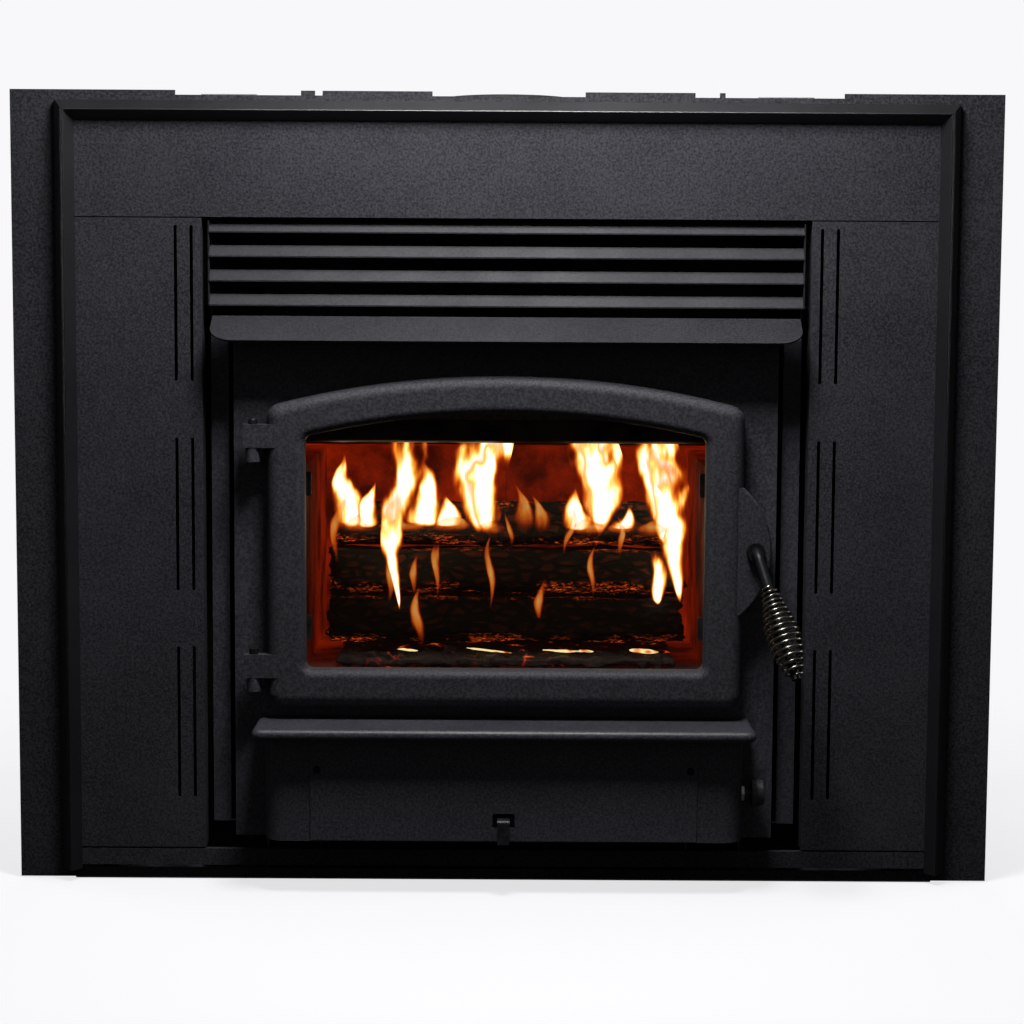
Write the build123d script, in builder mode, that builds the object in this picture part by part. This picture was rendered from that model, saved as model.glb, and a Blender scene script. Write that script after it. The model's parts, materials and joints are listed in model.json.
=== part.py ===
from build123d import *
from math import atan2, cos, degrees, pi, radians, sin, sqrt
import os

os.makedirs("parts", exist_ok=True)

# All sizes in millimetres. X runs to the right, Y into the wall, Z up.
# The wall plane is Y = 0 and the floor is Z = 0.

# The opening inside the trim drives the face's and the cabinet's width and height
trim_inner = 461.0
trim_width = 21.0
face_margin = 48.0
face_width = 2 * (trim_inner + trim_width + face_margin)
cabinet_beyond_trim = 9.0
cabinet_width = 2 * (trim_inner + cabinet_beyond_trim)
header_top = 824.0
face_over_trim = 11.0
face_height = header_top + trim_width + face_over_trim
cabinet_over_header = 14.0
cabinet_height = header_top + cabinet_over_header

# Outer cabinet that is framed into the wall
cabinet_depth = 600.0
cabinet_sheet = 1.5
insulation = 25.0
insulation_setback = 5.0
board_joint = 0.5
hold_down_x = 700.0
hold_down_y = 400.0
hold_down_from_wall = 80.0
hold_down_radius = 4.0
flange_reach = 38.0
flange_setback = 12.0
flange_low = 60.0
flange_high = 780.0
nail_radius = 3.0
nail_from_cabinet = 20.0
nail_from_end = 40.0
standoff_height = 16.0
standoff_width = 60.0
standoff_x = 300.0

# Surround sheet on the wall
face_sheet = 2.0
face_notch = 5.0
toe_height = 12.0

# Raised three-sided trim
trim_ridge = 10.0
trim_height = 20.0
trim_outer_wall = 6.0
trim_inner_wall = 8.0
trim_sheet = 1.2
trim_screw_z = 176.0
trim_screw_radius = 2.8
trim_lap = 5.0
header_lap = 2.0

# Fascia inside the trim
fascia_y = -10.0
fascia_sheet = 1.2
fascia_seam = 1.2
header_bottom = 722.0
header_return = 19.0
opening_half = 326.0
side_return = 24.0
side_bottom = 37.0
slot_width = 3.5
slot_length = 166.0
slot_pitch = 227.0
slot_rows = 3
slot_top = 713.0
slot_inner_x = 337.0
slot_outer_x = 354.0
rail_bottom = 17.0
rail_top = 35.0

# Louvre grille over the stove
slat_count = 4
slat_drop = 3.8
slat_top = header_bottom - slat_drop
slat_pitch = 26.0
slat_height = 12.7
slat_lean = 8.0
slat_return = 8.0
slat_half = 318.0
slat_sheet = 1.5
slat_front_y = -9.0
grille_bracket_back = 9.0
grille_screw_x = -34.0
grille_screw_radius = 3.8

# Sloping hood under the grille
hood_half = 315.0
hood_top = 617.0
hood_drop = 25.0
hood_reach = 42.0
hood_sheet = 2.0
hood_corner = 25.0
hood_flange = 22.0

# Steel front plate of the stove
plate_half = 293.0
plate_bottom = 50.0
plate_top = 612.0
plate_front_y = -6.5
plate_thickness = 6.0
low_port_half = 180.0
low_port_bottom = 70.0
low_port_top = 150.0

# Convection jacket
jacket_half = 319.0
jacket_sheet = 1.5
jacket_front_y = 9.5
jacket_rear_space = 80.0
jacket_back_y = cabinet_depth - jacket_rear_space
jacket_bottom = 62.0
jacket_top_z = 724.0
jacket_strip = 19.0
jacket_strip_top = 605.0
rail_setback = 25.0

# Firebox plates and lining
firebox_half = 262.0
firebox_plate = 6.0
firebox_rear_space = 80.0
firebox_back_y = jacket_back_y - firebox_rear_space
plate_joint = 0.5
firebox_floor_z = 182.0
firebox_top_z = 575.0
brick = 32.0
brick_joint = 0.5
brick_height = 229.0
side_bricks = 4
back_bricks = 4
floor_brick_columns = 4
floor_brick_rows = 2
tube_radius = 12.7
tube_wall = 1.6
tube_count = 3
tube_first_y = 100.0
tube_pitch = (firebox_back_y - 2 * tube_first_y) / (tube_count - 1)
tube_hole_radius = 2.5
tube_hole_count = 9
tube_hole_pitch = 45.0
manifold_width = 18.0
manifold_height = 28.0
tube_z = 487.0
baffle_thickness = 25.0
baffle_front_y = 70.0
baffle_play = 1.0
wash_low = 484.0
wash_height = 21.0
wash_depth = 20.0
flue_from_back = 180.0
flue_y = firebox_back_y - flue_from_back
flue_radius = 76.2
flue_wall = 1.6
flue_stand = 30.0
flue_gap = 3.0

# Door casting, arched along its top
door_half = 255.5
door_bottom = 197.0
door_corner_z = 521.0
door_crown_z = 555.0
door_corner_radius = 16.0
door_back_y = -10.0
door_front_y = -38.0
door_rim = 41.0
door_outer_round = 13.0
door_inner_round = 9.0
glass_rebate = 9.0
glass_thickness = 5.0
glass_tape = 1.5
glass_play = 1.0
rope_inset = 15.0
rope_width = 11.0
rope_depth = 5.0
feed_inset = 33.5
clip_thickness = 2.0
clip_width = 26.0

# Door hinges on the left
hinge_x = -270.0
hinge_y = -30.0
hinge_low = (462.0, 214.0)
hinge_boss_height = 15.0
hinge_boss_radius = 8.0
hinge_lug_height = 25.0
hinge_lug_left = 10.0
hinge_lug_round = 8.0
hinge_stem = 10.0
hinge_pin_radius = 5.0
hinge_pin_stand = 6.0
running_gap = 0.05
seat_gap = 0.3

# Latch on the right
ear_top = 437.0
ear_bottom = 300.0
ear_reach = 286.0
ear_back_y = -22.0
ear_front_y = -36.0
latch_x = 268.0
latch_z = 369.0
latch_radius = 6.0
latch_hub_radius = 10.0
latch_hub_length = 9.0
latch_back_y = -8.5
cam_thickness = 5.0
cam_hub_radius = 11.0
cam_tip_radius = 6.0
cam_reach = 34.0
cam_clearance = 1.0
keeper_width = 20.0
keeper_height = 26.0
keeper_stand = 12.5
keeper_sheet = 3.0
handle_bend_y = -62.0
handle_end = (303.0, -128.0, 246.0)
handle_radius = 5.0
handle_bend = 12.0

# Coiled wire grip on the handle
grip_wire = 3.2
wire_sides = 6
grip_turns = 16
grip_length = 100.0
grip_belly = 38.0
grip_tail = 4.0

# Ash lip and the lower box
lip_half = 267.0
lip_bottom = 171.0
lip_thickness = 12.0
lip_front_y = -92.0
lip_corner = 10.0
skirt_half = 256.0
skirt_bottom = 59.0
skirt_front_y = -70.5
skirt_sheet = 2.0
skirt_round = 22.0
skirt_window_half = 190.0
skirt_window_margin = 11.0
cover_half = 206.0
cover_sheet = 2.0
cover_margin = 1.5
cover_screw_x = 199.0
cover_screw_z = 137.0
cover_screw_radius = 4.0
rod_hole_width = 23.5
rod_hole_bottom = 74.5
rod_hole_top = 90.0

# Primary air slide
rod_width = 13.0
rod_thickness = 4.0
rod_top = 85.0
rod_tab_front = -84.0
rod_tab_bottom = 59.0
rod_travel = 40.0
shutter_sheet = 2.0
air_box_half = 60.0
air_box_front_y = 30.0
air_box_back_y = 150.0
air_box_gap = 1.0
air_box_sheet = 2.0
guide_lip = 8.0

# Blower under the firebox
blower_from_back = 200.0
blower_y = jacket_back_y - blower_from_back
blower_z = 122.0
motor_radius = 38.0
motor_half = 50.0
shaft_radius = 4.0
wheel_radius = 42.0
wheel_width = 60.0
wheel_start = 70.0
wheel_blades = 18
blade_chord = 9.0
blade_sheet = 1.0
scroll_radius = 52.0
scroll_sheet = 1.5
scroll_side_gap = 4.0
scroll_mouth = 70.0
scroll_mouth_height = 40.0
scroll_inlet = 32.0

# Blower speed control on the right wall of the lower box
knob_y = -33.0
knob_z = 106.0
knob_radius = 14.5
knob_start = 268.0
knob_length = 13.0
knob_draft = 0.7
knob_edge = 1.5
control_shaft_radius = 3.0
control_body = 28.0
control_depth = 26.0
bushing_radius = 5.0
bushing_length = 8.0
nut_radius = 9.0
nut_length = 4.0

# Thermostat and wiring box
thermostat_radius = 14.5
thermostat_height = 13.0
wiring_width = 26.0
wiring_height = 56.0
wiring_length = 112.0
wiring_front_y = 38.0
wiring_round = 5.0

# Outside air inlet on the left
inlet_from_back = 130.0
inlet_y = cabinet_depth - inlet_from_back
inlet_z = 130.0
inlet_radius = 50.8
inlet_length = 32.0
inlet_wall = 1.2
inlet_flange = 20.0

# Loose fuel in the firebox
ember_height = 16.0
ember_edge_round = 36.0
log_radius = 30.0
log_length = 400.0
log_rows = 3
log_first_y = 152.0
split_share = 0.62
split_angle = 150.0

cabinet_half = cabinet_width / 2
lining_half = firebox_half - firebox_plate
brick_floor_top = firebox_floor_z + firebox_plate + brick
brick_front_y = plate_front_y + plate_thickness + seat_gap
brick_back_y = firebox_back_y - firebox_plate - brick
arch_rise = door_crown_z - door_corner_z
arch_radius = (door_half**2 + arch_rise**2) / (2 * arch_rise)
arch_centre = door_crown_z - arch_radius
plate_back_y = plate_front_y + plate_thickness
stand = (Align.CENTER, Align.CENTER, Align.MIN)


# A vertical plane that faces the room at depth y; a positive extrusion comes forward
def facing(y):
    return Plane.XZ.offset(-y)


# An upright block between two opposite corners
def block(x_span, y_span, z_span, mode=Mode.ADD):
    centre = ((x_span[0] + x_span[1]) / 2, (y_span[0] + y_span[1]) / 2, z_span[0])
    with Locations(centre):
        Box(x_span[1] - x_span[0], y_span[1] - y_span[0], z_span[1] - z_span[0], align=stand, mode=mode)


# The door's arched outline, drawn inwards by a distance, with rounded corners
def door_shape(inset, corner):
    half = door_half - inset
    bottom = door_bottom + inset
    radius = arch_radius - inset
    shoulder = arch_centre + sqrt(radius**2 - half**2)
    with BuildSketch() as shape:
        with BuildLine():
            Polyline((-half, shoulder), (-half, bottom), (half, bottom), (half, shoulder))
            ThreePointArc((half, shoulder), (0, arch_centre + radius), (-half, shoulder))
        make_face()
        fillet(shape.vertices(), corner)
    return shape.sketch


# Writes a finished piece under its own name
def keep(piece, name):
    piece.part.label = name
    export_step(piece.part, f"parts/{name}.step")


# Cabinet floor pan with four hold-down holes
with BuildPart() as cabinet_floor:
    block((-cabinet_half, cabinet_half), (-face_sheet, cabinet_depth), (0, cabinet_sheet))
    with Locations((0, hold_down_from_wall + hold_down_y / 2, cabinet_sheet)):
        with GridLocations(hold_down_x, hold_down_y, 2, 2):
            Hole(hold_down_radius)
keep(cabinet_floor, "cabinet_floor")

# Cabinet walls; the left one is cut for the outside air inlet
wall_z = (cabinet_sheet, cabinet_height - cabinet_sheet)
inner_half = cabinet_half - cabinet_sheet
with BuildPart() as cabinet_walls:
    block((-cabinet_half, -inner_half), (0, cabinet_depth), wall_z)
    with BuildSketch(Plane.YZ.offset(-cabinet_half)):
        with Locations((inlet_y, inlet_z)):
            Circle(inlet_radius + seat_gap)
    extrude(amount=cabinet_sheet, mode=Mode.SUBTRACT)
    block((inner_half, cabinet_half), (0, cabinet_depth), wall_z)
    block((-inner_half, inner_half), (cabinet_depth - cabinet_sheet, cabinet_depth), wall_z)
keep(cabinet_walls, "cabinet_walls")

with BuildPart() as cabinet_top:
    block((-cabinet_half, cabinet_half), (0, cabinet_depth), (wall_z[1], cabinet_height))
    with Locations((0, flue_y, cabinet_height)):
        Hole(flue_radius + flue_gap)
keep(cabinet_top, "cabinet_top")

# Hat-shaped standoffs that keep framing clear of the cabinet top
with BuildPart() as top_standoffs:
    with BuildSketch(facing(cabinet_depth - insulation)):
        with Locations((-standoff_x, cabinet_height), (standoff_x, cabinet_height)):
            Rectangle(standoff_width, standoff_height, align=(Align.CENTER, Align.MIN))
            inside_width = standoff_width - 2 * cabinet_sheet
            inside_height = standoff_height - cabinet_sheet
            Rectangle(inside_width, inside_height, align=(Align.CENTER, Align.MIN), mode=Mode.SUBTRACT)
            Rectangle(2 * standoff_width, cabinet_sheet, align=(Align.CENTER, Align.MIN))
            Rectangle(inside_width, cabinet_sheet, align=(Align.CENTER, Align.MIN), mode=Mode.SUBTRACT)
    extrude(amount=cabinet_depth - 2 * insulation)
keep(top_standoffs, "top_standoffs")

# Nailing flanges for the wall studs
flange_tip = cabinet_half + flange_reach
flange_back = flange_setback + cabinet_sheet
nail_x = cabinet_half + nail_from_cabinet
with BuildPart() as nailing_flanges:
    for side in (-1, 1):
        with BuildSketch(Plane.XY.offset(flange_low)):
            with BuildLine():
                Polyline(
                    (side * cabinet_half, flange_setback),
                    (side * flange_tip, flange_setback),
                    (side * flange_tip, flange_back),
                    (side * (cabinet_half + cabinet_sheet), flange_back),
                    (side * (cabinet_half + cabinet_sheet), flange_setback + flange_reach),
                    (side * cabinet_half, flange_setback + flange_reach),
                    close=True,
                )
            make_face()
        extrude(amount=flange_high - flange_low)
    nail_span = flange_high - flange_low - 2 * nail_from_end
    with BuildSketch(facing(flange_back)):
        with Locations((0, (flange_low + flange_high) / 2)):
            with GridLocations(2 * nail_x, nail_span, 2, 2):
                Circle(nail_radius)
    extrude(amount=cabinet_sheet, mode=Mode.SUBTRACT)
keep(nailing_flanges, "nailing_flanges")

# Mineral boards inside the cabinet walls
board_half = inner_half - insulation
board_z = (cabinet_sheet, cabinet_height - cabinet_sheet)
board_front = fascia_y + header_return + insulation_setback
board_back = cabinet_depth - cabinet_sheet
side_y = (board_front, board_back - insulation - board_joint)
with BuildPart() as insulation_boards:
    block((-inner_half, -board_half), side_y, board_z)
    with BuildSketch(Plane.YZ.offset(-inner_half)):
        with Locations((inlet_y, inlet_z)):
            Circle(inlet_radius + seat_gap)
    extrude(amount=insulation, mode=Mode.SUBTRACT)
    block((board_half, inner_half), side_y, board_z)
    block((-inner_half, inner_half), (board_back - insulation, board_back), board_z)
keep(insulation_boards, "insulation_boards")

# Mineral board under the cabinet top, cut for the flue
top_half = board_half - board_joint
with BuildPart() as insulation_top_board:
    block((-top_half, top_half), side_y, (board_z[1] - insulation, board_z[1]))
    with Locations((0, flue_y, board_z[1])):
        Hole(flue_radius + flue_gap)
keep(insulation_top_board, "insulation_top_board")

# Surround sheet with its large opening and shallow notches along the top edge
face_opening_half = trim_inner - trim_lap
face_opening_top = header_top - header_lap
notch_spans = ((-354.0, -220.0), (-205.0, -197.0), (-80.0, 83.0), (200.0, 226.0), (232.0, 359.0))
with BuildPart() as outer_face_panel:
    with BuildSketch(facing(0)):
        with Locations((0, cabinet_sheet)):
            Rectangle(face_width, face_height - cabinet_sheet, align=(Align.CENTER, Align.MIN))
        with Locations((0, toe_height)):
            opening = (2 * face_opening_half, face_opening_top - toe_height)
            Rectangle(*opening, align=(Align.CENTER, Align.MIN), mode=Mode.SUBTRACT)
        for notch_left, notch_right in notch_spans:
            with Locations(((notch_left + notch_right) / 2, face_height)):
                notch = (notch_right - notch_left, face_notch)
                Rectangle(*notch, align=(Align.CENTER, Align.MAX), mode=Mode.SUBTRACT)
    extrude(amount=face_sheet)
keep(outer_face_panel, "outer_face_panel")


# The trim's folded section: x across from the inner edge, y out of the wall
def trim_section():
    rise = trim_sheet / cos(atan2(trim_height - trim_inner_wall, trim_ridge))
    with BuildSketch() as section:
        with BuildLine():
            Polyline(
                (0, 0),
                (0, trim_inner_wall),
                (trim_ridge, trim_height),
                (trim_width, trim_outer_wall),
                (trim_width, 0),
                (trim_width - trim_sheet, 0),
                (trim_width - trim_sheet, trim_outer_wall - trim_sheet / 2),
                (trim_ridge, trim_height - rise),
                (trim_sheet, trim_inner_wall - trim_sheet / 2),
                (trim_sheet, 0),
                close=True,
            )
        make_face()
        fillet(section.vertices().sort_by(Axis.Y)[-1], trim_sheet)
    return section.sketch


trim_top_z = header_top + trim_width
corner_left = Plane(origin=(-trim_inner, 0, header_top), z_dir=(1, 0, 1))
corner_right = Plane(origin=(trim_inner, 0, header_top), z_dir=(-1, 0, 1))
with BuildPart() as trim_top:
    across = Plane(origin=(-trim_inner - trim_width, -face_sheet, header_top), x_dir=(0, 0, 1), z_dir=(1, 0, 0))
    with BuildSketch(across):
        add(trim_section())
    extrude(amount=2 * (trim_inner + trim_width))
    split(bisect_by=corner_left, keep=Keep.TOP)
    split(bisect_by=corner_right, keep=Keep.TOP)
keep(trim_top, "trim_top")

with BuildPart() as trim_left:
    upright = Plane(origin=(-trim_inner, -face_sheet, trim_top_z), x_dir=(-1, 0, 0), z_dir=(0, 0, -1))
    with BuildSketch(upright):
        mirror(trim_section(), about=Plane.XZ, mode=Mode.ADD)
    extrude(amount=trim_top_z - toe_height)
    split(bisect_by=corner_left, keep=Keep.BOTTOM)
keep(trim_left, "trim_left")

with BuildPart() as trim_right:
    mirror(trim_left.part, about=Plane.YZ)
keep(trim_right, "trim_right")

# Header panel: a folded sheet with a top hem and a deep return under it
with BuildPart() as header_panel:
    with BuildSketch(Plane.YZ.offset(-trim_inner)):
        with BuildLine():
            Polyline(
                (-face_sheet, header_top),
                (fascia_y, header_top),
                (fascia_y, header_bottom),
                (fascia_y + header_return, header_bottom),
                (fascia_y + header_return, header_bottom + fascia_sheet),
                (fascia_y + fascia_sheet, header_bottom + fascia_sheet),
                (fascia_y + fascia_sheet, header_top - fascia_sheet),
                (-face_sheet, header_top - fascia_sheet),
                close=True,
            )
        make_face()
    extrude(amount=2 * trim_inner)
    for side in (-1, 1):
        relief_x = sorted((side * (face_opening_half - seat_gap), side * trim_inner))
        relief_y = (-face_sheet, fascia_y + header_return)
        block(relief_x, relief_y, (header_bottom, header_bottom + fascia_sheet), mode=Mode.SUBTRACT)
keep(header_panel, "header_panel")

# Side panels: a folded sheet with rows of paired slots beside the opening
side_top = header_bottom - fascia_seam
with BuildPart() as side_panel_right:
    with BuildSketch(Plane.XY.offset(side_bottom)):
        with BuildLine():
            Polyline(
                (trim_inner, -face_sheet),
                (trim_inner, fascia_y),
                (opening_half, fascia_y),
                (opening_half, fascia_y + side_return),
                (opening_half + fascia_sheet, fascia_y + side_return),
                (opening_half + fascia_sheet, fascia_y + fascia_sheet),
                (trim_inner - fascia_sheet, fascia_y + fascia_sheet),
                (trim_inner - fascia_sheet, -face_sheet),
                close=True,
            )
        make_face()
    extrude(amount=side_top - side_bottom)
    slot_x = (slot_inner_x + slot_outer_x) / 2
    slot_z = slot_top - slot_length / 2 - slot_pitch * (slot_rows - 1) / 2
    with BuildSketch(facing(fascia_y + fascia_sheet)):
        with Locations((slot_x, slot_z)):
            with GridLocations(slot_outer_x - slot_inner_x, slot_pitch, 2, slot_rows):
                SlotOverall(slot_length, slot_width, rotation=90)
    extrude(amount=fascia_sheet, mode=Mode.SUBTRACT)
keep(side_panel_right, "side_panel_right")

with BuildPart() as side_panel_left:
    mirror(side_panel_right.part, about=Plane.YZ)
keep(side_panel_left, "side_panel_left")

# Bottom rail, a channel across the foot of the fascia
with BuildPart() as bottom_rail:
    with BuildSketch(Plane.YZ.offset(-trim_inner)):
        with BuildLine():
            Polyline(
                (-face_sheet, rail_top),
                (fascia_y, rail_top),
                (fascia_y, rail_bottom),
                (-face_sheet, rail_bottom),
                (-face_sheet, rail_bottom + fascia_sheet),
                (fascia_y + fascia_sheet, rail_bottom + fascia_sheet),
                (fascia_y + fascia_sheet, rail_top - fascia_sheet),
                (-face_sheet, rail_top - fascia_sheet),
                close=True,
            )
        make_face()
    extrude(amount=2 * trim_inner)
keep(bottom_rail, "bottom_rail")

# Grille end brackets, fixed to the side panels' returns
lowest_slat = slat_top - slat_pitch * (slat_count - 1) - slat_height
with BuildPart() as grille_brackets:
    for side in (-1, 1):
        with BuildSketch(Plane.XY.offset(lowest_slat)):
            with BuildLine():
                Polyline(
                    (side * slat_half, slat_front_y + slat_sheet),
                    (side * (slat_half + slat_sheet), slat_front_y + slat_sheet),
                    (side * (slat_half + slat_sheet), grille_bracket_back - slat_sheet),
                    (side * opening_half, grille_bracket_back - slat_sheet),
                    (side * opening_half, grille_bracket_back),
                    (side * slat_half, grille_bracket_back),
                    close=True,
                )
            make_face()
        extrude(amount=slat_top - lowest_slat)
keep(grille_brackets, "grille_brackets")

# Louvre slats: leaning blades, each folded back along its upper edge
with BuildPart() as louvre_slats:
    for index in range(slat_count):
        blade_top = slat_top - slat_pitch * index
        blade_low = blade_top - slat_height
        with BuildSketch(Plane.YZ.offset(-slat_half)):
            with BuildLine():
                Polyline(
                    (slat_front_y, blade_low),
                    (slat_front_y, blade_low + slat_sheet),
                    (slat_front_y + slat_lean, blade_top),
                    (slat_front_y + slat_lean + slat_return, blade_top),
                    (slat_front_y + slat_lean + slat_return, blade_top - slat_sheet),
                    (slat_front_y + slat_lean + slat_sheet, blade_top - slat_sheet),
                    (slat_front_y + 2 * slat_sheet, blade_low + slat_sheet),
                    (slat_front_y + 2 * slat_sheet, blade_low),
                    close=True,
                )
            make_face()
        extrude(amount=2 * slat_half)
keep(louvre_slats, "louvre_slats")

# Hood: a sloping visor with rounded front corners on an upright flange
hood_back_y = plate_front_y - hood_sheet
hood_run = sqrt(hood_drop**2 + hood_reach**2)
hood_slope = Plane(
    origin=(0, hood_back_y, hood_top),
    x_dir=(1, 0, 0),
    z_dir=(0, -hood_drop, hood_reach),
)
with BuildPart() as hood:
    with BuildSketch(hood_slope):
        Rectangle(2 * hood_half, hood_run, align=(Align.CENTER, Align.MAX))
    extrude(amount=-hood_sheet)
    front_corners = hood.edges().filter_by(Axis((0, 0, 0), hood_slope.z_dir))
    fillet(front_corners.group_by(Axis.Y)[0], hood_corner)
    block((-hood_half, hood_half), (hood_back_y, plate_front_y), (hood_top - hood_flange, hood_top))
keep(hood, "hood")

# Steel front plate with the arched feed opening and the port behind the lower box
with BuildPart() as front_plate:
    with BuildSketch(facing(plate_back_y)):
        with Locations((0, plate_bottom)):
            Rectangle(2 * plate_half, plate_top - plate_bottom, align=(Align.CENTER, Align.MIN))
        add(door_shape(feed_inset, door_corner_radius), mode=Mode.SUBTRACT)
        with Locations((0, low_port_bottom)):
            port = (2 * low_port_half, low_port_top - low_port_bottom)
            Rectangle(*port, align=(Align.CENTER, Align.MIN), mode=Mode.SUBTRACT)
    extrude(amount=plate_thickness)
keep(front_plate, "front_plate")

# Convection jacket: sides with front strips, back, floor and top
strip_inner = jacket_half - jacket_strip
jacket_inner = jacket_half - jacket_sheet
with BuildPart() as jacket_sides:
    strip_y = (jacket_front_y, jacket_front_y + jacket_sheet)
    for side in (-1, 1):
        side_x = sorted((side * jacket_inner, side * jacket_half))
        strip_x = sorted((side * strip_inner, side * jacket_half))
        block(side_x, (jacket_front_y, jacket_back_y), (jacket_bottom, jacket_top_z))
        block(strip_x, strip_y, (jacket_bottom, jacket_strip_top))
keep(jacket_sides, "jacket_sides")

with BuildPart() as jacket_back:
    back_y = (jacket_back_y - jacket_sheet, jacket_back_y)
    block((-jacket_inner, jacket_inner), back_y, (jacket_bottom, jacket_top_z))
    floor_y = (jacket_front_y + jacket_sheet, jacket_back_y - jacket_sheet)
    block((-jacket_inner, jacket_inner), floor_y, (jacket_bottom, jacket_bottom + jacket_sheet))
keep(jacket_back, "jacket_back_and_floor")

with BuildPart() as jacket_top:
    top_z = (jacket_top_z, jacket_top_z + jacket_sheet)
    block((-jacket_half, jacket_half), (fascia_y + header_return, jacket_back_y), top_z)
    with Locations((0, flue_y, top_z[1])):
        Hole(flue_radius + flue_gap)
keep(jacket_top, "jacket_top")

# Two rails carry the jacket and the firebox off the cabinet floor
with BuildPart() as support_rails:
    rail_inside = firebox_half - standoff_width / 2
    for side in (-1, 1):
        with BuildSketch(facing(jacket_back_y - rail_setback)):
            with Locations((side * rail_inside, cabinet_sheet)):
                rail_height = jacket_bottom - cabinet_sheet
                Rectangle(standoff_width, rail_height, align=(Align.CENTER, Align.MIN))
                hollow = (standoff_width - 2 * cabinet_sheet, rail_height - cabinet_sheet)
                Rectangle(*hollow, align=(Align.CENTER, Align.MIN), mode=Mode.SUBTRACT)
        extrude(amount=jacket_back_y - 2 * rail_setback)
keep(support_rails, "support_rails")

# Firebox plates
box_z = (jacket_bottom + jacket_sheet, firebox_top_z)
box_y = (plate_back_y, firebox_back_y)
back_plate_y = (firebox_back_y - firebox_plate, firebox_back_y)
with BuildPart() as firebox_shell:
    for side in (-1, 1):
        block(sorted((side * lining_half, side * firebox_half)), box_y, box_z)
    chamfer(firebox_shell.edges().filter_by(Axis.X).group_by(Axis.Z)[0], firebox_plate)
    back_half = lining_half - plate_joint
    block((-back_half, back_half), back_plate_y, (firebox_floor_z, firebox_top_z))
    floor_z = (firebox_floor_z, firebox_floor_z + firebox_plate)
    block((-back_half, back_half), (plate_back_y, back_plate_y[0] - plate_joint), floor_z)
    air_slot_y = (air_box_front_y + air_box_sheet, air_box_back_y - air_box_sheet)
    air_slot_half = air_box_half - air_box_sheet
    block((-air_slot_half, air_slot_half), air_slot_y, floor_z, mode=Mode.SUBTRACT)
keep(firebox_shell, "firebox_shell")

with BuildPart() as firebox_top:
    roof_z = (firebox_top_z, firebox_top_z + firebox_plate)
    block((-firebox_half, firebox_half), box_y, roof_z)
    with Locations((0, flue_y, roof_z[1])):
        Hole(flue_radius - flue_wall)
keep(firebox_top, "firebox_top")

# Firebrick floor; primary air comes up through the joint over the air slot
with BuildPart() as brick_floor:
    cell_x = 2 * lining_half / floor_brick_columns
    cell_y = (back_plate_y[0] - brick_front_y) / floor_brick_rows
    with Locations((0, (back_plate_y[0] + brick_front_y) / 2, brick_floor_top - brick)):
        with GridLocations(cell_x, cell_y, floor_brick_columns, floor_brick_rows):
            Box(cell_x - brick_joint, cell_y - brick_joint, brick, align=stand)
    chamfer(brick_floor.faces().group_by(Axis.Z)[-1].edges(), brick_joint * 2)
keep(brick_floor, "floor_bricks")

# Side bricks stand on the floor bricks
side_cell = (brick_back_y - brick_front_y) / side_bricks
with BuildPart() as side_brick_rows:
    for side in (-1, 1):
        row_x = side * (lining_half - brick / 2)
        with Locations((row_x, (brick_back_y + brick_front_y) / 2, brick_floor_top)):
            with GridLocations(brick, side_cell, 1, side_bricks):
                Box(brick - brick_joint, side_cell - brick_joint, brick_height, align=stand)
    inner_faces = side_brick_rows.faces().filter_by(Axis.X).filter_by(
        lambda face: abs(abs(face.center().X) - lining_half + brick) < brick / 2
    )
    chamfer(inner_faces.edges(), brick_joint * 2)
keep(side_brick_rows, "side_bricks")

back_cell = 2 * lining_half / back_bricks
with BuildPart() as brick_back:
    with Locations((0, brick_back_y + brick / 2, brick_floor_top)):
        with GridLocations(back_cell, brick, back_bricks, 1):
            Box(back_cell - brick_joint, brick - brick_joint, brick_height, align=stand)
    chamfer(brick_back.faces().group_by(Axis.Y)[0].edges(), brick_joint * 2)
keep(brick_back, "back_bricks")

# Air manifolds along both walls, joined by the air wash channel behind the window's top
manifold_half = lining_half - manifold_width
manifold_z = tube_z - manifold_height / 2
with BuildPart() as air_manifolds:
    for side in (-1, 1):
        with BuildSketch(facing(back_plate_y[0])):
            with Locations((side * (lining_half - manifold_width / 2), manifold_z)):
                Rectangle(manifold_width, manifold_height, align=(Align.CENTER, Align.MIN))
            with Locations((side * (lining_half - manifold_width / 2), manifold_z + tube_wall)):
                hollow = (manifold_width - 2 * tube_wall, manifold_height - 2 * tube_wall)
                Rectangle(*hollow, align=(Align.CENTER, Align.MIN), mode=Mode.SUBTRACT)
        extrude(amount=back_plate_y[0] - plate_back_y)
    with BuildSketch(Plane.YZ.offset(-manifold_half)):
        with Locations((plate_back_y, wash_low)):
            Rectangle(wash_depth, wash_height, align=(Align.MIN, Align.MIN))
        with Locations((plate_back_y + tube_wall, wash_low)):
            channel = (wash_depth - 2 * tube_wall, wash_height - tube_wall)
            Rectangle(*channel, align=(Align.MIN, Align.MIN), mode=Mode.SUBTRACT)
    extrude(amount=2 * manifold_half)
keep(air_manifolds, "air_manifolds")

# Drilled secondary air tubes between the manifolds; the small holes have six sides

with BuildPart() as secondary_air_tubes:
    for index in range(tube_count):
        tube_y = tube_first_y + tube_pitch * index
        tube_axis = Plane(origin=(-manifold_half, tube_y, tube_z), z_dir=(1, 0, 0))
        with BuildSketch(tube_axis):
            Circle(tube_radius)
            Circle(tube_radius - tube_wall, mode=Mode.SUBTRACT)
        extrude(amount=2 * manifold_half)
        with BuildSketch(facing(tube_y)):
            with Locations((0, tube_z)):
                with GridLocations(tube_hole_pitch, tube_radius, tube_hole_count, 1):
                    RegularPolygon(tube_hole_radius, 6)
        extrude(amount=tube_radius, mode=Mode.SUBTRACT)
keep(secondary_air_tubes, "secondary_air_tubes")

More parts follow.
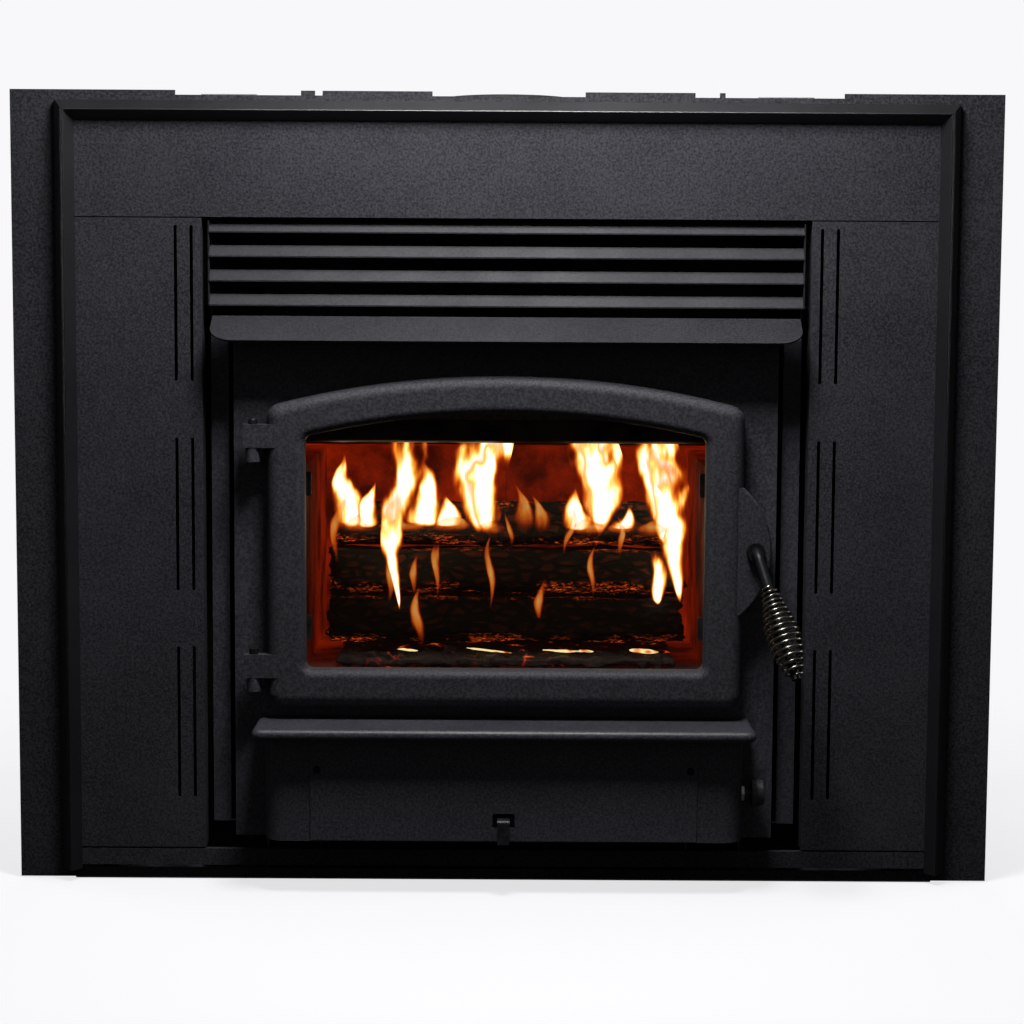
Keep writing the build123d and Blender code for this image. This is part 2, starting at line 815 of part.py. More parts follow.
with BuildPart() as baffle_board:
    baffle_z = tube_z + manifold_height / 2 + seat_gap
    baffle_y = (baffle_front_y, back_plate_y[0])
    block((baffle_play - lining_half, lining_half - baffle_play), baffle_y, (baffle_z, baffle_z + baffle_thickness))
keep(baffle_board, "baffle_board")

# Flue collar from the firebox roof up through the cabinet top
flue_top = cabinet_height + flue_stand
with BuildPart() as flue_collar:
    with BuildSketch(Plane.XY.offset(roof_z[1])):
        with Locations((0, flue_y)):
            Circle(flue_radius)
            Circle(flue_radius - flue_wall, mode=Mode.SUBTRACT)
    extrude(amount=flue_top - roof_z[1])
keep(flue_collar, "flue_collar")

# Ash lip with a rounded nose
with BuildPart() as ash_lip:
    with BuildSketch(Plane.XY.offset(lip_bottom)):
        with Locations((0, plate_front_y)):
            Rectangle(2 * lip_half, plate_front_y - lip_front_y, align=(Align.CENTER, Align.MAX))
    extrude(amount=lip_thickness)
    fillet(ash_lip.edges().filter_by(Axis.Z).group_by(Axis.Y)[0], lip_corner)
    round_edges = ash_lip.edges().filter_by(lambda edge: edge.center().Y < plate_front_y - 1)
    flat_edges = round_edges.filter_by(lambda edge: abs(edge.tangent_at(0.5).Z) < 0.5)
    fillet(flat_edges, lip_thickness / 2 - seat_gap)
keep(ash_lip, "ash_lip")

# The lower box seen from above, drawn inwards by a distance, with rounded front corners
def skirt_shape(inset):
    front = skirt_front_y + inset
    with BuildSketch() as shape:
        with Locations((0, plate_front_y)):
            size = (2 * (skirt_half - inset), plate_front_y - front)
            Rectangle(*size, align=(Align.CENTER, Align.MAX))
        fillet(shape.vertices().group_by(Axis.Y)[0], skirt_round - inset)
    return shape.sketch


# Lower skirt, one bent sheet with rounded ends and a window behind the cover
with BuildPart() as lower_skirt:
    with BuildSketch(Plane.XY.offset(skirt_bottom)):
        add(skirt_shape(0))
        add(skirt_shape(skirt_sheet), mode=Mode.SUBTRACT)
    extrude(amount=lip_bottom - skirt_bottom)
    with BuildSketch(facing(skirt_front_y + skirt_sheet)):
        with Locations((0, (skirt_bottom + lip_bottom) / 2)):
            window_height = lip_bottom - skirt_bottom - 2 * skirt_window_margin
            Rectangle(2 * skirt_window_half, window_height)
    extrude(amount=skirt_sheet, mode=Mode.SUBTRACT)
    with BuildSketch(Plane.YZ.offset(skirt_half - skirt_sheet)):
        with Locations((knob_y, knob_z)):
            Circle(bushing_radius + seat_gap)
    extrude(amount=skirt_sheet, mode=Mode.SUBTRACT)
keep(lower_skirt, "lower_skirt")

# Access cover with the hole for the air slide
with BuildPart() as access_cover:
    with BuildSketch(facing(skirt_front_y)):
        cover_low = skirt_bottom + cover_margin
        with Locations((0, cover_low)):
            cover_height = lip_bottom - skirt_bottom - 2 * cover_margin
            Rectangle(2 * cover_half, cover_height, align=(Align.CENTER, Align.MIN))
        with Locations((0, rod_hole_bottom)):
            rod_hole = (rod_hole_width, rod_hole_top - rod_hole_bottom)
            Rectangle(*rod_hole, align=(Align.CENTER, Align.MIN), mode=Mode.SUBTRACT)
    extrude(amount=cover_sheet)
keep(access_cover, "access_cover")

# Pan-head screws on the cover, the trim legs and the lowest slat
cover_front_y = skirt_front_y - cover_sheet
trim_screw_y = -face_sheet - trim_outer_wall / 2
screw_seat = slat_top - slat_pitch * (slat_count - 1)
slat_screw_y = slat_front_y + slat_lean + slat_return / 2
screw_planes = (
    (Plane(origin=(-cover_screw_x, cover_front_y, cover_screw_z), z_dir=(0, -1, 0)), cover_screw_radius),
    (Plane(origin=(cover_screw_x, cover_front_y, cover_screw_z), z_dir=(0, -1, 0)), cover_screw_radius),
    (Plane(origin=(-trim_inner - trim_width, trim_screw_y, trim_screw_z), z_dir=(-1, 0, 0)), trim_screw_radius),
    (Plane(origin=(trim_inner + trim_width, trim_screw_y, trim_screw_z), z_dir=(1, 0, 0)), trim_screw_radius),
    (Plane(origin=(grille_screw_x, slat_screw_y, screw_seat)), grille_screw_radius),
)
with BuildPart() as face_screws:
    for seat, head_radius in screw_planes:
        with BuildSketch(seat):
            Circle(head_radius)
        extrude(amount=head_radius / 2)
        head_rim = face_screws.edges(Select.LAST).filter_by(GeomType.CIRCLE)
        far_rim = head_rim.sort_by(lambda edge: seat.to_local_coords(edge.arc_center).Z)[-1]
        chamfer(far_rim, head_radius / 3)
keep(face_screws, "face_screws")

# Primary air slide: a flat bar whose front end is bent down as a finger tab
with BuildPart() as air_slide:
    with BuildSketch(Plane.YZ.offset(-rod_width / 2)):
        with BuildLine():
            Polyline(
                (rod_tab_front, rod_tab_bottom),
                (rod_tab_front, rod_top),
                (air_box_back_y, rod_top),
                (air_box_back_y, rod_top - rod_thickness),
                (rod_tab_front + rod_thickness, rod_top - rod_thickness),
                (rod_tab_front + rod_thickness, rod_tab_bottom),
                close=True,
            )
        make_face()
    extrude(amount=rod_width)
    shutter_z = (rod_top, rod_top + shutter_sheet)
    shutter_half = air_box_half - air_box_sheet - seat_gap
    block((-shutter_half, shutter_half), (air_box_front_y, air_box_back_y), shutter_z)
    bend = air_slide.edges().filter_by(Axis.X).group_by(Axis.Y)[0].sort_by(Axis.Z)[-1]
    fillet(bend, rod_thickness - seat_gap)
keep(air_slide, "air_slide")

# Air box under the slot in the firebox floor, with guides for the shutter's edges
with BuildPart() as air_box:
    air_box_low = shutter_z[1] + air_box_gap
    duct_x = (-air_box_half, air_box_half)
    duct_y = (air_box_front_y, air_box_back_y)
    block(duct_x, duct_y, (air_box_low, firebox_floor_z))
    bore_x = (duct_x[0] + air_box_sheet, duct_x[1] - air_box_sheet)
    bore_y = (duct_y[0] + air_box_sheet, duct_y[1] - air_box_sheet)
    block(bore_x, bore_y, (air_box_low, firebox_floor_z), mode=Mode.SUBTRACT)
    lip_z = rod_top - seat_gap
    for side in (-1, 1):
        with BuildSketch(facing(air_box_back_y)):
            with BuildLine():
                Polyline(
                    (side * (air_box_half - guide_lip), lip_z - air_box_sheet),
                    (side * (air_box_half + air_box_sheet), lip_z - air_box_sheet),
                    (side * (air_box_half + air_box_sheet), air_box_low + guide_lip),
                    (side * air_box_half, air_box_low + guide_lip),
                    (side * air_box_half, lip_z),
                    (side * (air_box_half - guide_lip), lip_z),
                    close=True,
                )
            make_face()
        extrude(amount=air_box_back_y - air_box_front_y)
keep(air_box, "air_box")

# Blower: motor on a saddle, one shaft, two bladed wheels in scroll housings
blower_axis = Plane(origin=(0, blower_y, blower_z), x_dir=(0, 1, 0), z_dir=(1, 0, 0))
with BuildPart() as blower_motor:
    with BuildSketch(blower_axis.offset(-motor_half)):
        Circle(motor_radius)
        Circle(shaft_radius + running_gap, mode=Mode.SUBTRACT)
    extrude(amount=2 * motor_half)
    rims = blower_motor.edges().filter_by(GeomType.CIRCLE).filter_by(lambda edge: edge.radius > motor_radius - 1)
    chamfer(rims, shaft_radius)
    saddle_z = (jacket_bottom + jacket_sheet, blower_z - motor_radius * 0.8)
    saddle_y = (blower_y - motor_radius, blower_y + motor_radius)
    block((-motor_half / 2, motor_half / 2), saddle_y, saddle_z)
keep(blower_motor, "blower_motor")

wheel_end = wheel_start + wheel_width
with BuildPart() as blower_shaft:
    with BuildSketch(blower_axis.offset(-wheel_end)):
        Circle(shaft_radius)
    extrude(amount=2 * wheel_end)
keep(blower_shaft, "blower_shaft")

with BuildPart() as blower_wheels:
    for side in (-1, 1):
        inner_face = blower_axis.offset(side * wheel_start)
        with BuildSketch(inner_face):
            Circle(wheel_radius)
            Circle(shaft_radius, mode=Mode.SUBTRACT)
        extrude(amount=side * 2 * blade_sheet)
        with BuildSketch(inner_face):
            with PolarLocations(wheel_radius - blade_chord / 2, wheel_blades):
                Rectangle(blade_chord, blade_sheet, rotation=35)
        extrude(amount=side * wheel_width)
        with BuildSketch(blower_axis.offset(side * (wheel_end - 2 * blade_sheet))):
            Circle(wheel_radius)
            Circle(wheel_radius - blade_chord, mode=Mode.SUBTRACT)
        extrude(amount=side * 2 * blade_sheet)
keep(blower_wheels, "blower_wheels")


# The scroll's side view, drawn smaller by an inset
def scroll_shape(inset):
    with BuildSketch() as shape:
        Circle(scroll_radius - inset)
        with Locations((0, scroll_radius - inset)):
            mouth = (scroll_mouth, scroll_mouth_height - 2 * inset)
            Rectangle(*mouth, align=(Align.MIN, Align.MAX))
    return shape.sketch


scroll_from = wheel_start - scroll_side_gap
scroll_long = wheel_width + 2 * scroll_side_gap
with BuildPart() as blower_scrolls:
    for side in (-1, 1):
        with BuildSketch(blower_axis.offset(side * scroll_from)):
            add(scroll_shape(0))
        extrude(amount=side * scroll_long)
        with BuildSketch(blower_axis.offset(side * (scroll_from + scroll_sheet))):
            add(scroll_shape(scroll_sheet))
        extrude(amount=side * (scroll_long - 2 * scroll_sheet), mode=Mode.SUBTRACT)
        with BuildSketch(blower_axis.offset(side * scroll_from)):
            Circle(scroll_inlet)
        extrude(amount=side * scroll_long, mode=Mode.SUBTRACT)
        foot_y = (blower_y - scroll_inlet, blower_y + scroll_inlet)
        foot_x = sorted((side * scroll_from, side * (scroll_from + scroll_sheet)))
        foot_top = blower_z - scroll_radius + scroll_sheet * 2
        block(foot_x, foot_y, (jacket_bottom + jacket_sheet, foot_top))
keep(blower_scrolls, "blower_scrolls")

# Speed control inside the lower box, with its bushing through the right wall
wall_inside = skirt_half - skirt_sheet
control_axis = Plane(origin=(0, knob_y, knob_z), x_dir=(0, 1, 0), z_dir=(1, 0, 0))
with BuildPart() as speed_control:
    with BuildSketch(control_axis.offset(wall_inside - control_depth)):
        RectangleRounded(control_body, control_body, bushing_radius / 2)
    extrude(amount=control_depth)
    with BuildSketch(control_axis.offset(wall_inside)):
        Circle(bushing_radius)
    extrude(amount=skirt_sheet + bushing_length)
    with BuildSketch(control_axis.offset(wall_inside - control_depth / 2)):
        Circle(control_shaft_radius + running_gap)
    extrude(amount=control_depth / 2 + skirt_sheet + bushing_length, mode=Mode.SUBTRACT)
keep(speed_control, "speed_control")

with BuildPart() as control_nut:
    with BuildSketch(control_axis.offset(skirt_half)):
        RegularPolygon(nut_radius, 6)
        Circle(bushing_radius, mode=Mode.SUBTRACT)
    extrude(amount=nut_length)
keep(control_nut, "control_nut")

# Knob with a slight draft, turned together with its shaft
knob_end = knob_start + knob_length
shaft_from = wall_inside - control_depth / 2 + seat_gap
with BuildPart() as speed_knob:
    with BuildSketch(Plane(origin=(0, knob_y, knob_z), x_dir=(1, 0, 0), z_dir=(0, -1, 0))):
        with BuildLine():
            Polyline(
                (shaft_from, 0),
                (shaft_from, control_shaft_radius),
                (knob_start, control_shaft_radius),
                (knob_start, knob_radius),
                (knob_end - knob_edge, knob_radius - knob_draft),
                (knob_end, knob_radius - knob_draft - knob_edge),
                (knob_end, 0),
                close=True,
            )
        make_face()
    revolve(axis=Axis((0, knob_y, knob_z), (1, 0, 0)))
keep(speed_knob, "speed_knob")

# Snap-disc thermostat under the firebox floor
with BuildPart() as thermostat:
    with BuildSketch(Plane.XY.offset(firebox_floor_z)):
        with Locations((2 * air_box_half, air_box_back_y)):
            Circle(thermostat_radius)
    extrude(amount=-thermostat_height)
keep(thermostat, "thermostat")

# Wiring box on the cabinet's right wall
with BuildPart() as wiring_box:
    wiring_low = cabinet_sheet + insulation
    wiring_y = (wiring_front_y, wiring_front_y + wiring_length)
    wiring_z = (wiring_low, wiring_low + wiring_height)
    block((board_half - wiring_width, board_half), wiring_y, wiring_z)
    fillet(wiring_box.edges().filter_by(Axis.X), wiring_round)
keep(wiring_box, "wiring_box")

# Outside air inlet with a flange on the cabinet's left wall
with BuildPart() as outside_air_inlet:
    with BuildSketch(Plane(origin=(-cabinet_half, inlet_y, inlet_z), z_dir=(-1, 0, 0))):
        Circle(inlet_radius)
        Circle(inlet_radius - inlet_wall, mode=Mode.SUBTRACT)
    extrude(amount=inlet_length)
    extrude(outside_air_inlet.faces().sort_by(Axis.X)[-1], amount=insulation + cabinet_sheet)
    with BuildSketch(Plane(origin=(-cabinet_half, inlet_y, inlet_z), z_dir=(-1, 0, 0))):
        Circle(inlet_radius + inlet_flange)
        Circle(inlet_radius - inlet_wall, mode=Mode.SUBTRACT)
    extrude(amount=inlet_wall)
keep(outside_air_inlet, "outside_air_inlet")

# Ember bed and split logs, loose in the firebox
ember_top = brick_floor_top + ember_height
with BuildPart() as ember_bed:
    with BuildSketch(Plane.XY.offset(brick_floor_top)):
        with Locations((0, (brick_front_y + brick_back_y) / 2 + ember_edge_round)):
            RectangleRounded(log_length, brick_back_y - 2 * ember_edge_round, ember_edge_round)
    extrude(amount=ember_height, taper=30)
keep(ember_bed, "ember_bed")

# Logs stacked three, two and one; the front log of each row has a flat split face
log_pitch = 2 * log_radius + seat_gap
row_rise = log_pitch * cos(pi / 6)
with BuildPart() as firewood:
    for row in range(log_rows):
        log_z = ember_top + log_radius + seat_gap + row_rise * row
        for index in range(log_rows - row):
            log_y = log_first_y + log_pitch * (index + row / 2)
            log_end = Plane(origin=(-log_length / 2, log_y, log_z), x_dir=(0, 1, 0), z_dir=(1, 0, 0))
            with BuildSketch(log_end):
                Circle(log_radius)
                if index == 0:
                    with PolarLocations(split_share * log_radius, 1, start_angle=split_angle):
                        beyond = (log_radius, 2 * log_radius)
                        Rectangle(*beyond, align=(Align.MIN, Align.CENTER), mode=Mode.SUBTRACT)
            extrude(amount=log_length)
keep(firewood, "firewood")

# Door casting: rounded frame, hinge lugs and the latch ear in one piece
glass_back_y = door_back_y
rebate_y = glass_back_y - glass_tape - glass_thickness
lug_low = hinge_boss_height + seat_gap
with BuildPart() as door_frame:
    with BuildSketch(facing(door_back_y)):
        add(door_shape(0, door_corner_radius))
        add(door_shape(door_rim, door_corner_radius / 2), mode=Mode.SUBTRACT)
    extrude(amount=door_back_y - door_front_y)
    rim_edges = door_frame.faces().sort_by(Axis.Y)[0].outer_wire().edges()
    fillet(rim_edges, door_outer_round)
    window_edges = door_frame.faces().sort_by(Axis.Y)[0].inner_wires()[0].edges()
    fillet(window_edges, door_inner_round)
    with BuildSketch(facing(door_back_y)):
        add(door_shape(door_rim - glass_rebate, door_corner_radius / 2))
    extrude(amount=door_back_y - rebate_y, mode=Mode.SUBTRACT)
    with BuildSketch(facing(door_back_y)):
        add(door_shape(rope_inset, door_corner_radius / 2))
        add(door_shape(rope_inset + rope_width, door_corner_radius / 4), mode=Mode.SUBTRACT)
    extrude(amount=rope_depth, mode=Mode.SUBTRACT)
    with BuildSketch(facing(ear_back_y)):
        with BuildLine():
            root_x = door_half - door_outer_round
            ear_middle = (ear_top + ear_bottom) / 2
            ThreePointArc((door_half, ear_top), (ear_reach, ear_middle), (door_half, ear_bottom))
            Polyline((door_half, ear_bottom), (root_x, ear_bottom), (root_x, ear_top), (door_half, ear_top))
        make_face()
    extrude(amount=ear_back_y - ear_front_y)
    for low in hinge_low:
        with BuildSketch(Plane.XY.offset(low + lug_low)):
            with BuildLine():
                lug_left = hinge_x - hinge_lug_left
                lug_right = -door_half + door_outer_round
                lug_y = (hinge_y - hinge_lug_round, hinge_y + hinge_lug_round)
                Polyline(
                    (lug_right, lug_y[0]),
                    (lug_left, lug_y[0]),
                    (lug_left, lug_y[1]),
                    (lug_right, lug_y[1]),
                    close=True,
                )
            make_face()
            with Locations((hinge_x, hinge_y)):
                Circle(hinge_pin_radius + running_gap, mode=Mode.SUBTRACT)
        extrude(amount=hinge_lug_height)
    with BuildSketch(facing(ear_back_y)):
        with Locations((latch_x, latch_z)):
            Circle(latch_radius + running_gap)
    extrude(amount=ear_back_y - ear_front_y, mode=Mode.SUBTRACT)
    ear_rim = door_frame.faces().filter_by(Axis.Y).filter_by(
        lambda face: abs(face.center().Y - ear_front_y) < 0.1 and face.center().X > door_half
    )
    fillet(ear_rim[0].outer_wire().edges().sort_by(Axis.X)[-1], hinge_stem / 3)
keep(door_frame, "door_frame")

# Fixed hinge bosses on stems, with pins that stand up through the door's lugs
with BuildPart() as hinge_brackets:
    for low in hinge_low:
        with BuildSketch(Plane.XY.offset(low)):
            with Locations((hinge_x, hinge_y)):
                Circle(hinge_boss_radius)
            with Locations((hinge_x, (hinge_y + plate_front_y) / 2)):
                Rectangle(hinge_stem, plate_front_y - hinge_y)
            with Locations((hinge_x, hinge_y)):
                Circle(hinge_pin_radius, mode=Mode.SUBTRACT)
        extrude(amount=hinge_boss_height)
keep(hinge_brackets, "hinge_brackets")

with BuildPart() as hinge_pins:
    for low in hinge_low:
        with BuildSketch(Plane.XY.offset(low)):
            with Locations((hinge_x, hinge_y)):
                Circle(hinge_pin_radius)
        extrude(amount=lug_low + hinge_lug_height + hinge_pin_stand)
    chamfer(hinge_pins.edges().group_by(Axis.Z)[-1], hinge_pin_radius / 3)
keep(hinge_pins, "hinge_pins")

# Ceramic glass, its tape, the rope seal and the clips that hold the glass
glass_inset = door_rim - glass_rebate + glass_play
with BuildPart() as door_glass:
    with BuildSketch(facing(glass_back_y)):
        add(door_shape(glass_inset, door_corner_radius / 2))
    extrude(amount=glass_thickness)
keep(door_glass, "door_glass")

rope_back_y = plate_front_y - seat_gap
with BuildPart() as door_seals:
    with BuildSketch(facing(rebate_y + glass_tape)):
        add(door_shape(glass_inset, door_corner_radius / 2))
        add(door_shape(door_rim, door_corner_radius / 2), mode=Mode.SUBTRACT)
    extrude(amount=glass_tape)
    with BuildSketch(facing(rope_back_y)):
        add(door_shape(rope_inset, door_corner_radius / 2))
        add(door_shape(rope_inset + rope_width, door_corner_radius / 4), mode=Mode.SUBTRACT)
    extrude(amount=rope_depth + rope_back_y - door_back_y)
keep(door_seals, "door_seals")

clip_reach = glass_inset + clip_width / 2
with BuildPart() as glass_clips:
    clip_from = rope_inset + rope_width + seat_gap
    clip_high = (door_bottom + door_corner_z) / 2 + clip_width * 3
    clip_low = (door_bottom + door_corner_z) / 2 - clip_width * 3
    for side in (-1, 1):
        outer = side * (door_half - clip_from)
        inner = side * (door_half - clip_reach)
        for centre in (clip_low, clip_high):
            span = (centre - clip_width / 2, centre + clip_width / 2)
            block(sorted((outer, inner)), (door_back_y, door_back_y + clip_thickness), span)
    fillet(glass_clips.edges().filter_by(Axis.Y), clip_thickness)
keep(glass_clips, "glass_clips")

# Latch handle: shaft through the ear, hub and a bent bar
with BuildPart() as latch_handle:
    with BuildSketch(facing(latch_back_y)):
        with Locations((latch_x, latch_z)):
            Circle(latch_radius)
    extrude(amount=latch_back_y - ear_front_y + latch_hub_length)
    with BuildSketch(facing(ear_front_y - seat_gap)):
        with Locations((latch_x, latch_z)):
            Circle(latch_hub_radius)
    extrude(amount=latch_hub_length)
    with BuildLine() as handle_path:
        FilletPolyline(
            (latch_x, ear_front_y - latch_hub_length / 2, latch_z),
            (latch_x, handle_bend_y, latch_z),
            handle_end,
            radius=handle_bend,
        )
    with BuildSketch(Plane(origin=handle_path.line @ 0, z_dir=handle_path.line % 0)):
        Circle(handle_radius)
    sweep()
keep(latch_handle, "latch_handle")

# Cam behind the ear, hanging with the handle, and the keeper below its tip
cam_back_y = latch_back_y
with BuildPart() as latch_cam:
    with BuildSketch(facing(cam_back_y)):
        with Locations((latch_x, latch_z)):
            Circle(cam_hub_radius)
        with Locations((latch_x, latch_z - cam_reach + cam_tip_radius)):
            Circle(cam_tip_radius)
        make_hull()
        with Locations((latch_x, latch_z)):
            Circle(latch_radius, mode=Mode.SUBTRACT)
    extrude(amount=cam_thickness)
keep(latch_cam, "latch_cam")

keeper_top = latch_z - cam_reach - cam_clearance
with BuildPart() as latch_keeper:
    with BuildSketch(Plane.YZ.offset(latch_x - keeper_width / 2)):
        with BuildLine():
            keeper_front = plate_front_y - keeper_stand
            keeper_low = keeper_top - keeper_height
            Polyline(
                (plate_front_y, keeper_low),
                (keeper_front, keeper_low),
                (keeper_front, keeper_top),
                (keeper_front + keeper_sheet, keeper_top),
                (keeper_front + keeper_sheet, keeper_low + keeper_sheet),
                (plate_front_y - keeper_sheet, keeper_low + keeper_sheet),
                (plate_front_y - keeper_sheet, keeper_top - keeper_sheet),
                (plate_front_y, keeper_top - keeper_sheet),
                close=True,
            )
        make_face()
    extrude(amount=keeper_width)
keep(latch_keeper, "latch_keeper")

# Coiled wire grip: a spring that swells to a belly, wound around the handle's bar
bar_start = Vector(latch_x, handle_bend_y, latch_z)
bar_end = Vector(*handle_end)
bar_direction = (bar_end - bar_start).normalized()
grip_start = bar_end - bar_direction * (grip_length + grip_tail)
grip_plane = Plane(origin=grip_start, z_dir=bar_direction)
neck_radius = handle_radius + seat_gap + grip_wire / 2
belly_radius = (grip_belly - grip_wire) / 2


# A point of the coil's centre line, from 0 at the neck to 1 at the tip
def coil_point(share):
    swell = sin(pi * share**1.36)
    radius = neck_radius + (belly_radius - neck_radius) * swell
    angle = 2 * pi * grip_turns * share
    height = grip_length * (0.85 * share + 0.15 * share**2)
    return grip_plane.from_local_coords(Vector(radius * cos(angle), radius * sin(angle), height))


def coil_tangent(share):
    step = 1e-5
    return (coil_point(min(share + step, 1)) - coil_point(max(share - step, 0))).normalized()


# Half a turn as two arcs that share a tangent where they meet
def half_turn(first, second):
    start, finish = coil_point(first), coil_point(second)
    out, into = coil_tangent(first), coil_tangent(second)
    chord = finish - start
    lean = chord.dot(out + into)
    spread = 2 * (1 - out.dot(into))
    reach = (sqrt(lean**2 + spread * chord.dot(chord)) - lean) / spread
    before = start + out * reach
    after = finish - into * reach
    return start, (before + after) * 0.5, finish, out, (after - before).normalized()


with BuildPart() as spring_grip:
    with BuildLine() as coil:
        for index in range(2 * grip_turns):
            first_share = index / (2 * grip_turns)
            second_share = (index + 1) / (2 * grip_turns)
            start, middle, finish, out, through = half_turn(first_share, second_share)
            TangentArc(start, middle, tangent=out)
            TangentArc(middle, finish, tangent=through)
    with BuildSketch(Plane(origin=coil.line @ 0, z_dir=coil.line % 0)):
        RegularPolygon(grip_wire / 2, wire_sides)
    sweep()
keep(spring_grip, "spring_grip")

steps = 100 * grip_turns
samples = [coil_point(index / steps) for index in range(steps + 1)]
half_turn_steps = steps // (2 * grip_turns)
least = min(
    (samples[one] - samples[two]).length
    for one in range(0, steps, 2)
    for two in range(one + half_turn_steps, min(one + 3 * half_turn_steps, steps + 1))
)
print(f"least gap of the grip coil to itself: {least - grip_wire:.2f} mm")
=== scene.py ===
import json
import math
import random
import bpy
from mathutils import Matrix, Vector


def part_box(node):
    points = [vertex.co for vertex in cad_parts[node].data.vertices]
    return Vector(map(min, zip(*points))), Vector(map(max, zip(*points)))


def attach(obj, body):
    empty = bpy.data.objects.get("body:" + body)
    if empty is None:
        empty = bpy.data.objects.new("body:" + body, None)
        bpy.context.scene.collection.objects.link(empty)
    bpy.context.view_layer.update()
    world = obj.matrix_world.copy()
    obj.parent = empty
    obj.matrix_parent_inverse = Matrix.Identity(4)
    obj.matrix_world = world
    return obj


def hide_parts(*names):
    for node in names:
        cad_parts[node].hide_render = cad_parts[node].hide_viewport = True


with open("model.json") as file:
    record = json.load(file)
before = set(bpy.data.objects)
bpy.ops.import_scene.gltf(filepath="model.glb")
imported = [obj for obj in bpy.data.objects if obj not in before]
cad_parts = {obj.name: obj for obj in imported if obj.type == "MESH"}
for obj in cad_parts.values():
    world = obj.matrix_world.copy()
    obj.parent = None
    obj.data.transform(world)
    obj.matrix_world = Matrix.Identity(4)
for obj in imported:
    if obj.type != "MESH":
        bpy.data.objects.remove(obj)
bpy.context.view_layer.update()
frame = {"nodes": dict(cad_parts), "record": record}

mm = 0.001
print("frame loaded with", len(frame["nodes"]), "nodes")


# Small helpers for picking, naming and settling pieces
def clearSelection():
    if bpy.context.mode != "OBJECT":
        bpy.ops.object.mode_set(mode="OBJECT")
    bpy.ops.object.select_all(action="DESELECT")


def pick(*pieces):
    clearSelection()
    for piece in pieces:
        piece.select_set(True)
    bpy.context.view_layer.objects.active = pieces[0]


def named(name):
    piece = bpy.context.active_object
    piece.name = name
    piece.data.name = name
    return piece


def settle(piece):
    pick(piece)
    bpy.ops.object.transform_apply(location=True, rotation=True, scale=True)


def applyModifiers(piece):
    pick(piece)
    for modifier in list(piece.modifiers):
        bpy.ops.object.modifier_apply(modifier=modifier.name)


def joined(name, pieces):
    pick(*pieces)
    if len(pieces) > 1:
        bpy.ops.object.join()
    return named(name)


def endEdit():
    bpy.ops.object.mode_set(mode="OBJECT")


def smoothByAngle(piece, degrees=35):
    pick(piece)
    bpy.ops.object.shade_smooth_by_angle(angle=math.radians(degrees))


# A web colour in linear light, the one way that colours enter this file
def linearColour(hexCode, alpha=1.0):
    channels = [int(hexCode[i:i + 2], 16) / 255 for i in (1, 3, 5)]
    return tuple(c / 12.92 if c <= 0.04045 else ((c + 0.055) / 1.055) ** 2.4 for c in channels) + (alpha,)


def addNode(tree, kind, settings=None, links=None):
    node = tree.nodes.new("ShaderNode" + kind)
    for key, value in (settings or {}).items():
        if isinstance(key, str) and hasattr(node, key):
            setattr(node, key, value)
        else:
            node.inputs[key].default_value = value
    for key, source in (links or {}).items():
        tree.links.new(source, node.inputs[key])
    return node


def newFinish(name, **settings):
    material = bpy.data.materials.new(name)
    material.use_nodes = True
    tree = material.node_tree
    shader = tree.nodes["Principled BSDF"]
    for key, value in settings.items():
        shader.inputs[key.replace("_", " ")].default_value = value
    place = addNode(tree, "TexCoord")
    return material, tree, shader, place.outputs["Object"]


def perMetre(sizeMm):
    return 1.0 / (sizeMm * mm)


# A number squeezed from one range into another, held at both ends
def remap(tree, source, fromLow, fromHigh, toLow=0.0, toHigh=1.0, smooth=False):
    settings = {"From Min": fromLow, "From Max": fromHigh, "To Min": toLow, "To Max": toHigh}
    if smooth:
        settings["interpolation_type"] = "SMOOTHSTEP"
    return addNode(tree, "MapRange", settings, {"Value": source}).outputs[0]


def maths(tree, operation, first, second):
    node = addNode(tree, "Math", {"operation": operation})
    for index, source in enumerate((first, second)):
        if isinstance(source, (int, float)):
            node.inputs[index].default_value = source
        else:
            tree.links.new(source, node.inputs[index])
    return node.outputs[0]


def speckle(tree, place, sizeMm, detail=3.0, roughness=0.6, stretch=None):
    source = place
    if stretch:
        source = addNode(tree, "Mapping", {"Scale": stretch}, {"Vector": place}).outputs[0]
    settings = {"Scale": perMetre(sizeMm), "Detail": detail, "Roughness": roughness}
    return addNode(tree, "TexNoise", settings, {"Vector": source}).outputs["Fac"]


def blendColours(tree, factor, first, second, low=0.35, high=0.65):
    ramp = addNode(tree, "ValToRGB", links={"Fac": factor})
    ramp.color_ramp.elements[0].position = low
    ramp.color_ramp.elements[0].color = linearColour(first)
    ramp.color_ramp.elements[1].position = high
    ramp.color_ramp.elements[1].color = linearColour(second)
    return ramp.outputs["Color"]


def spread(tree, factor, low, high):
    return addNode(tree, "MapRange", {"To Min": low, "To Max": high}, {"Value": factor}).outputs[0]


def bump(tree, shader, height, depthMm, strength=1.0, under=None):
    links = {"Height": height}
    if under:
        links["Normal"] = under
    node = addNode(tree, "Bump", {"Strength": strength, "Distance": depthMm * mm}, links)
    tree.links.new(node.outputs["Normal"], shader.inputs["Normal"])
    return node.outputs["Normal"]


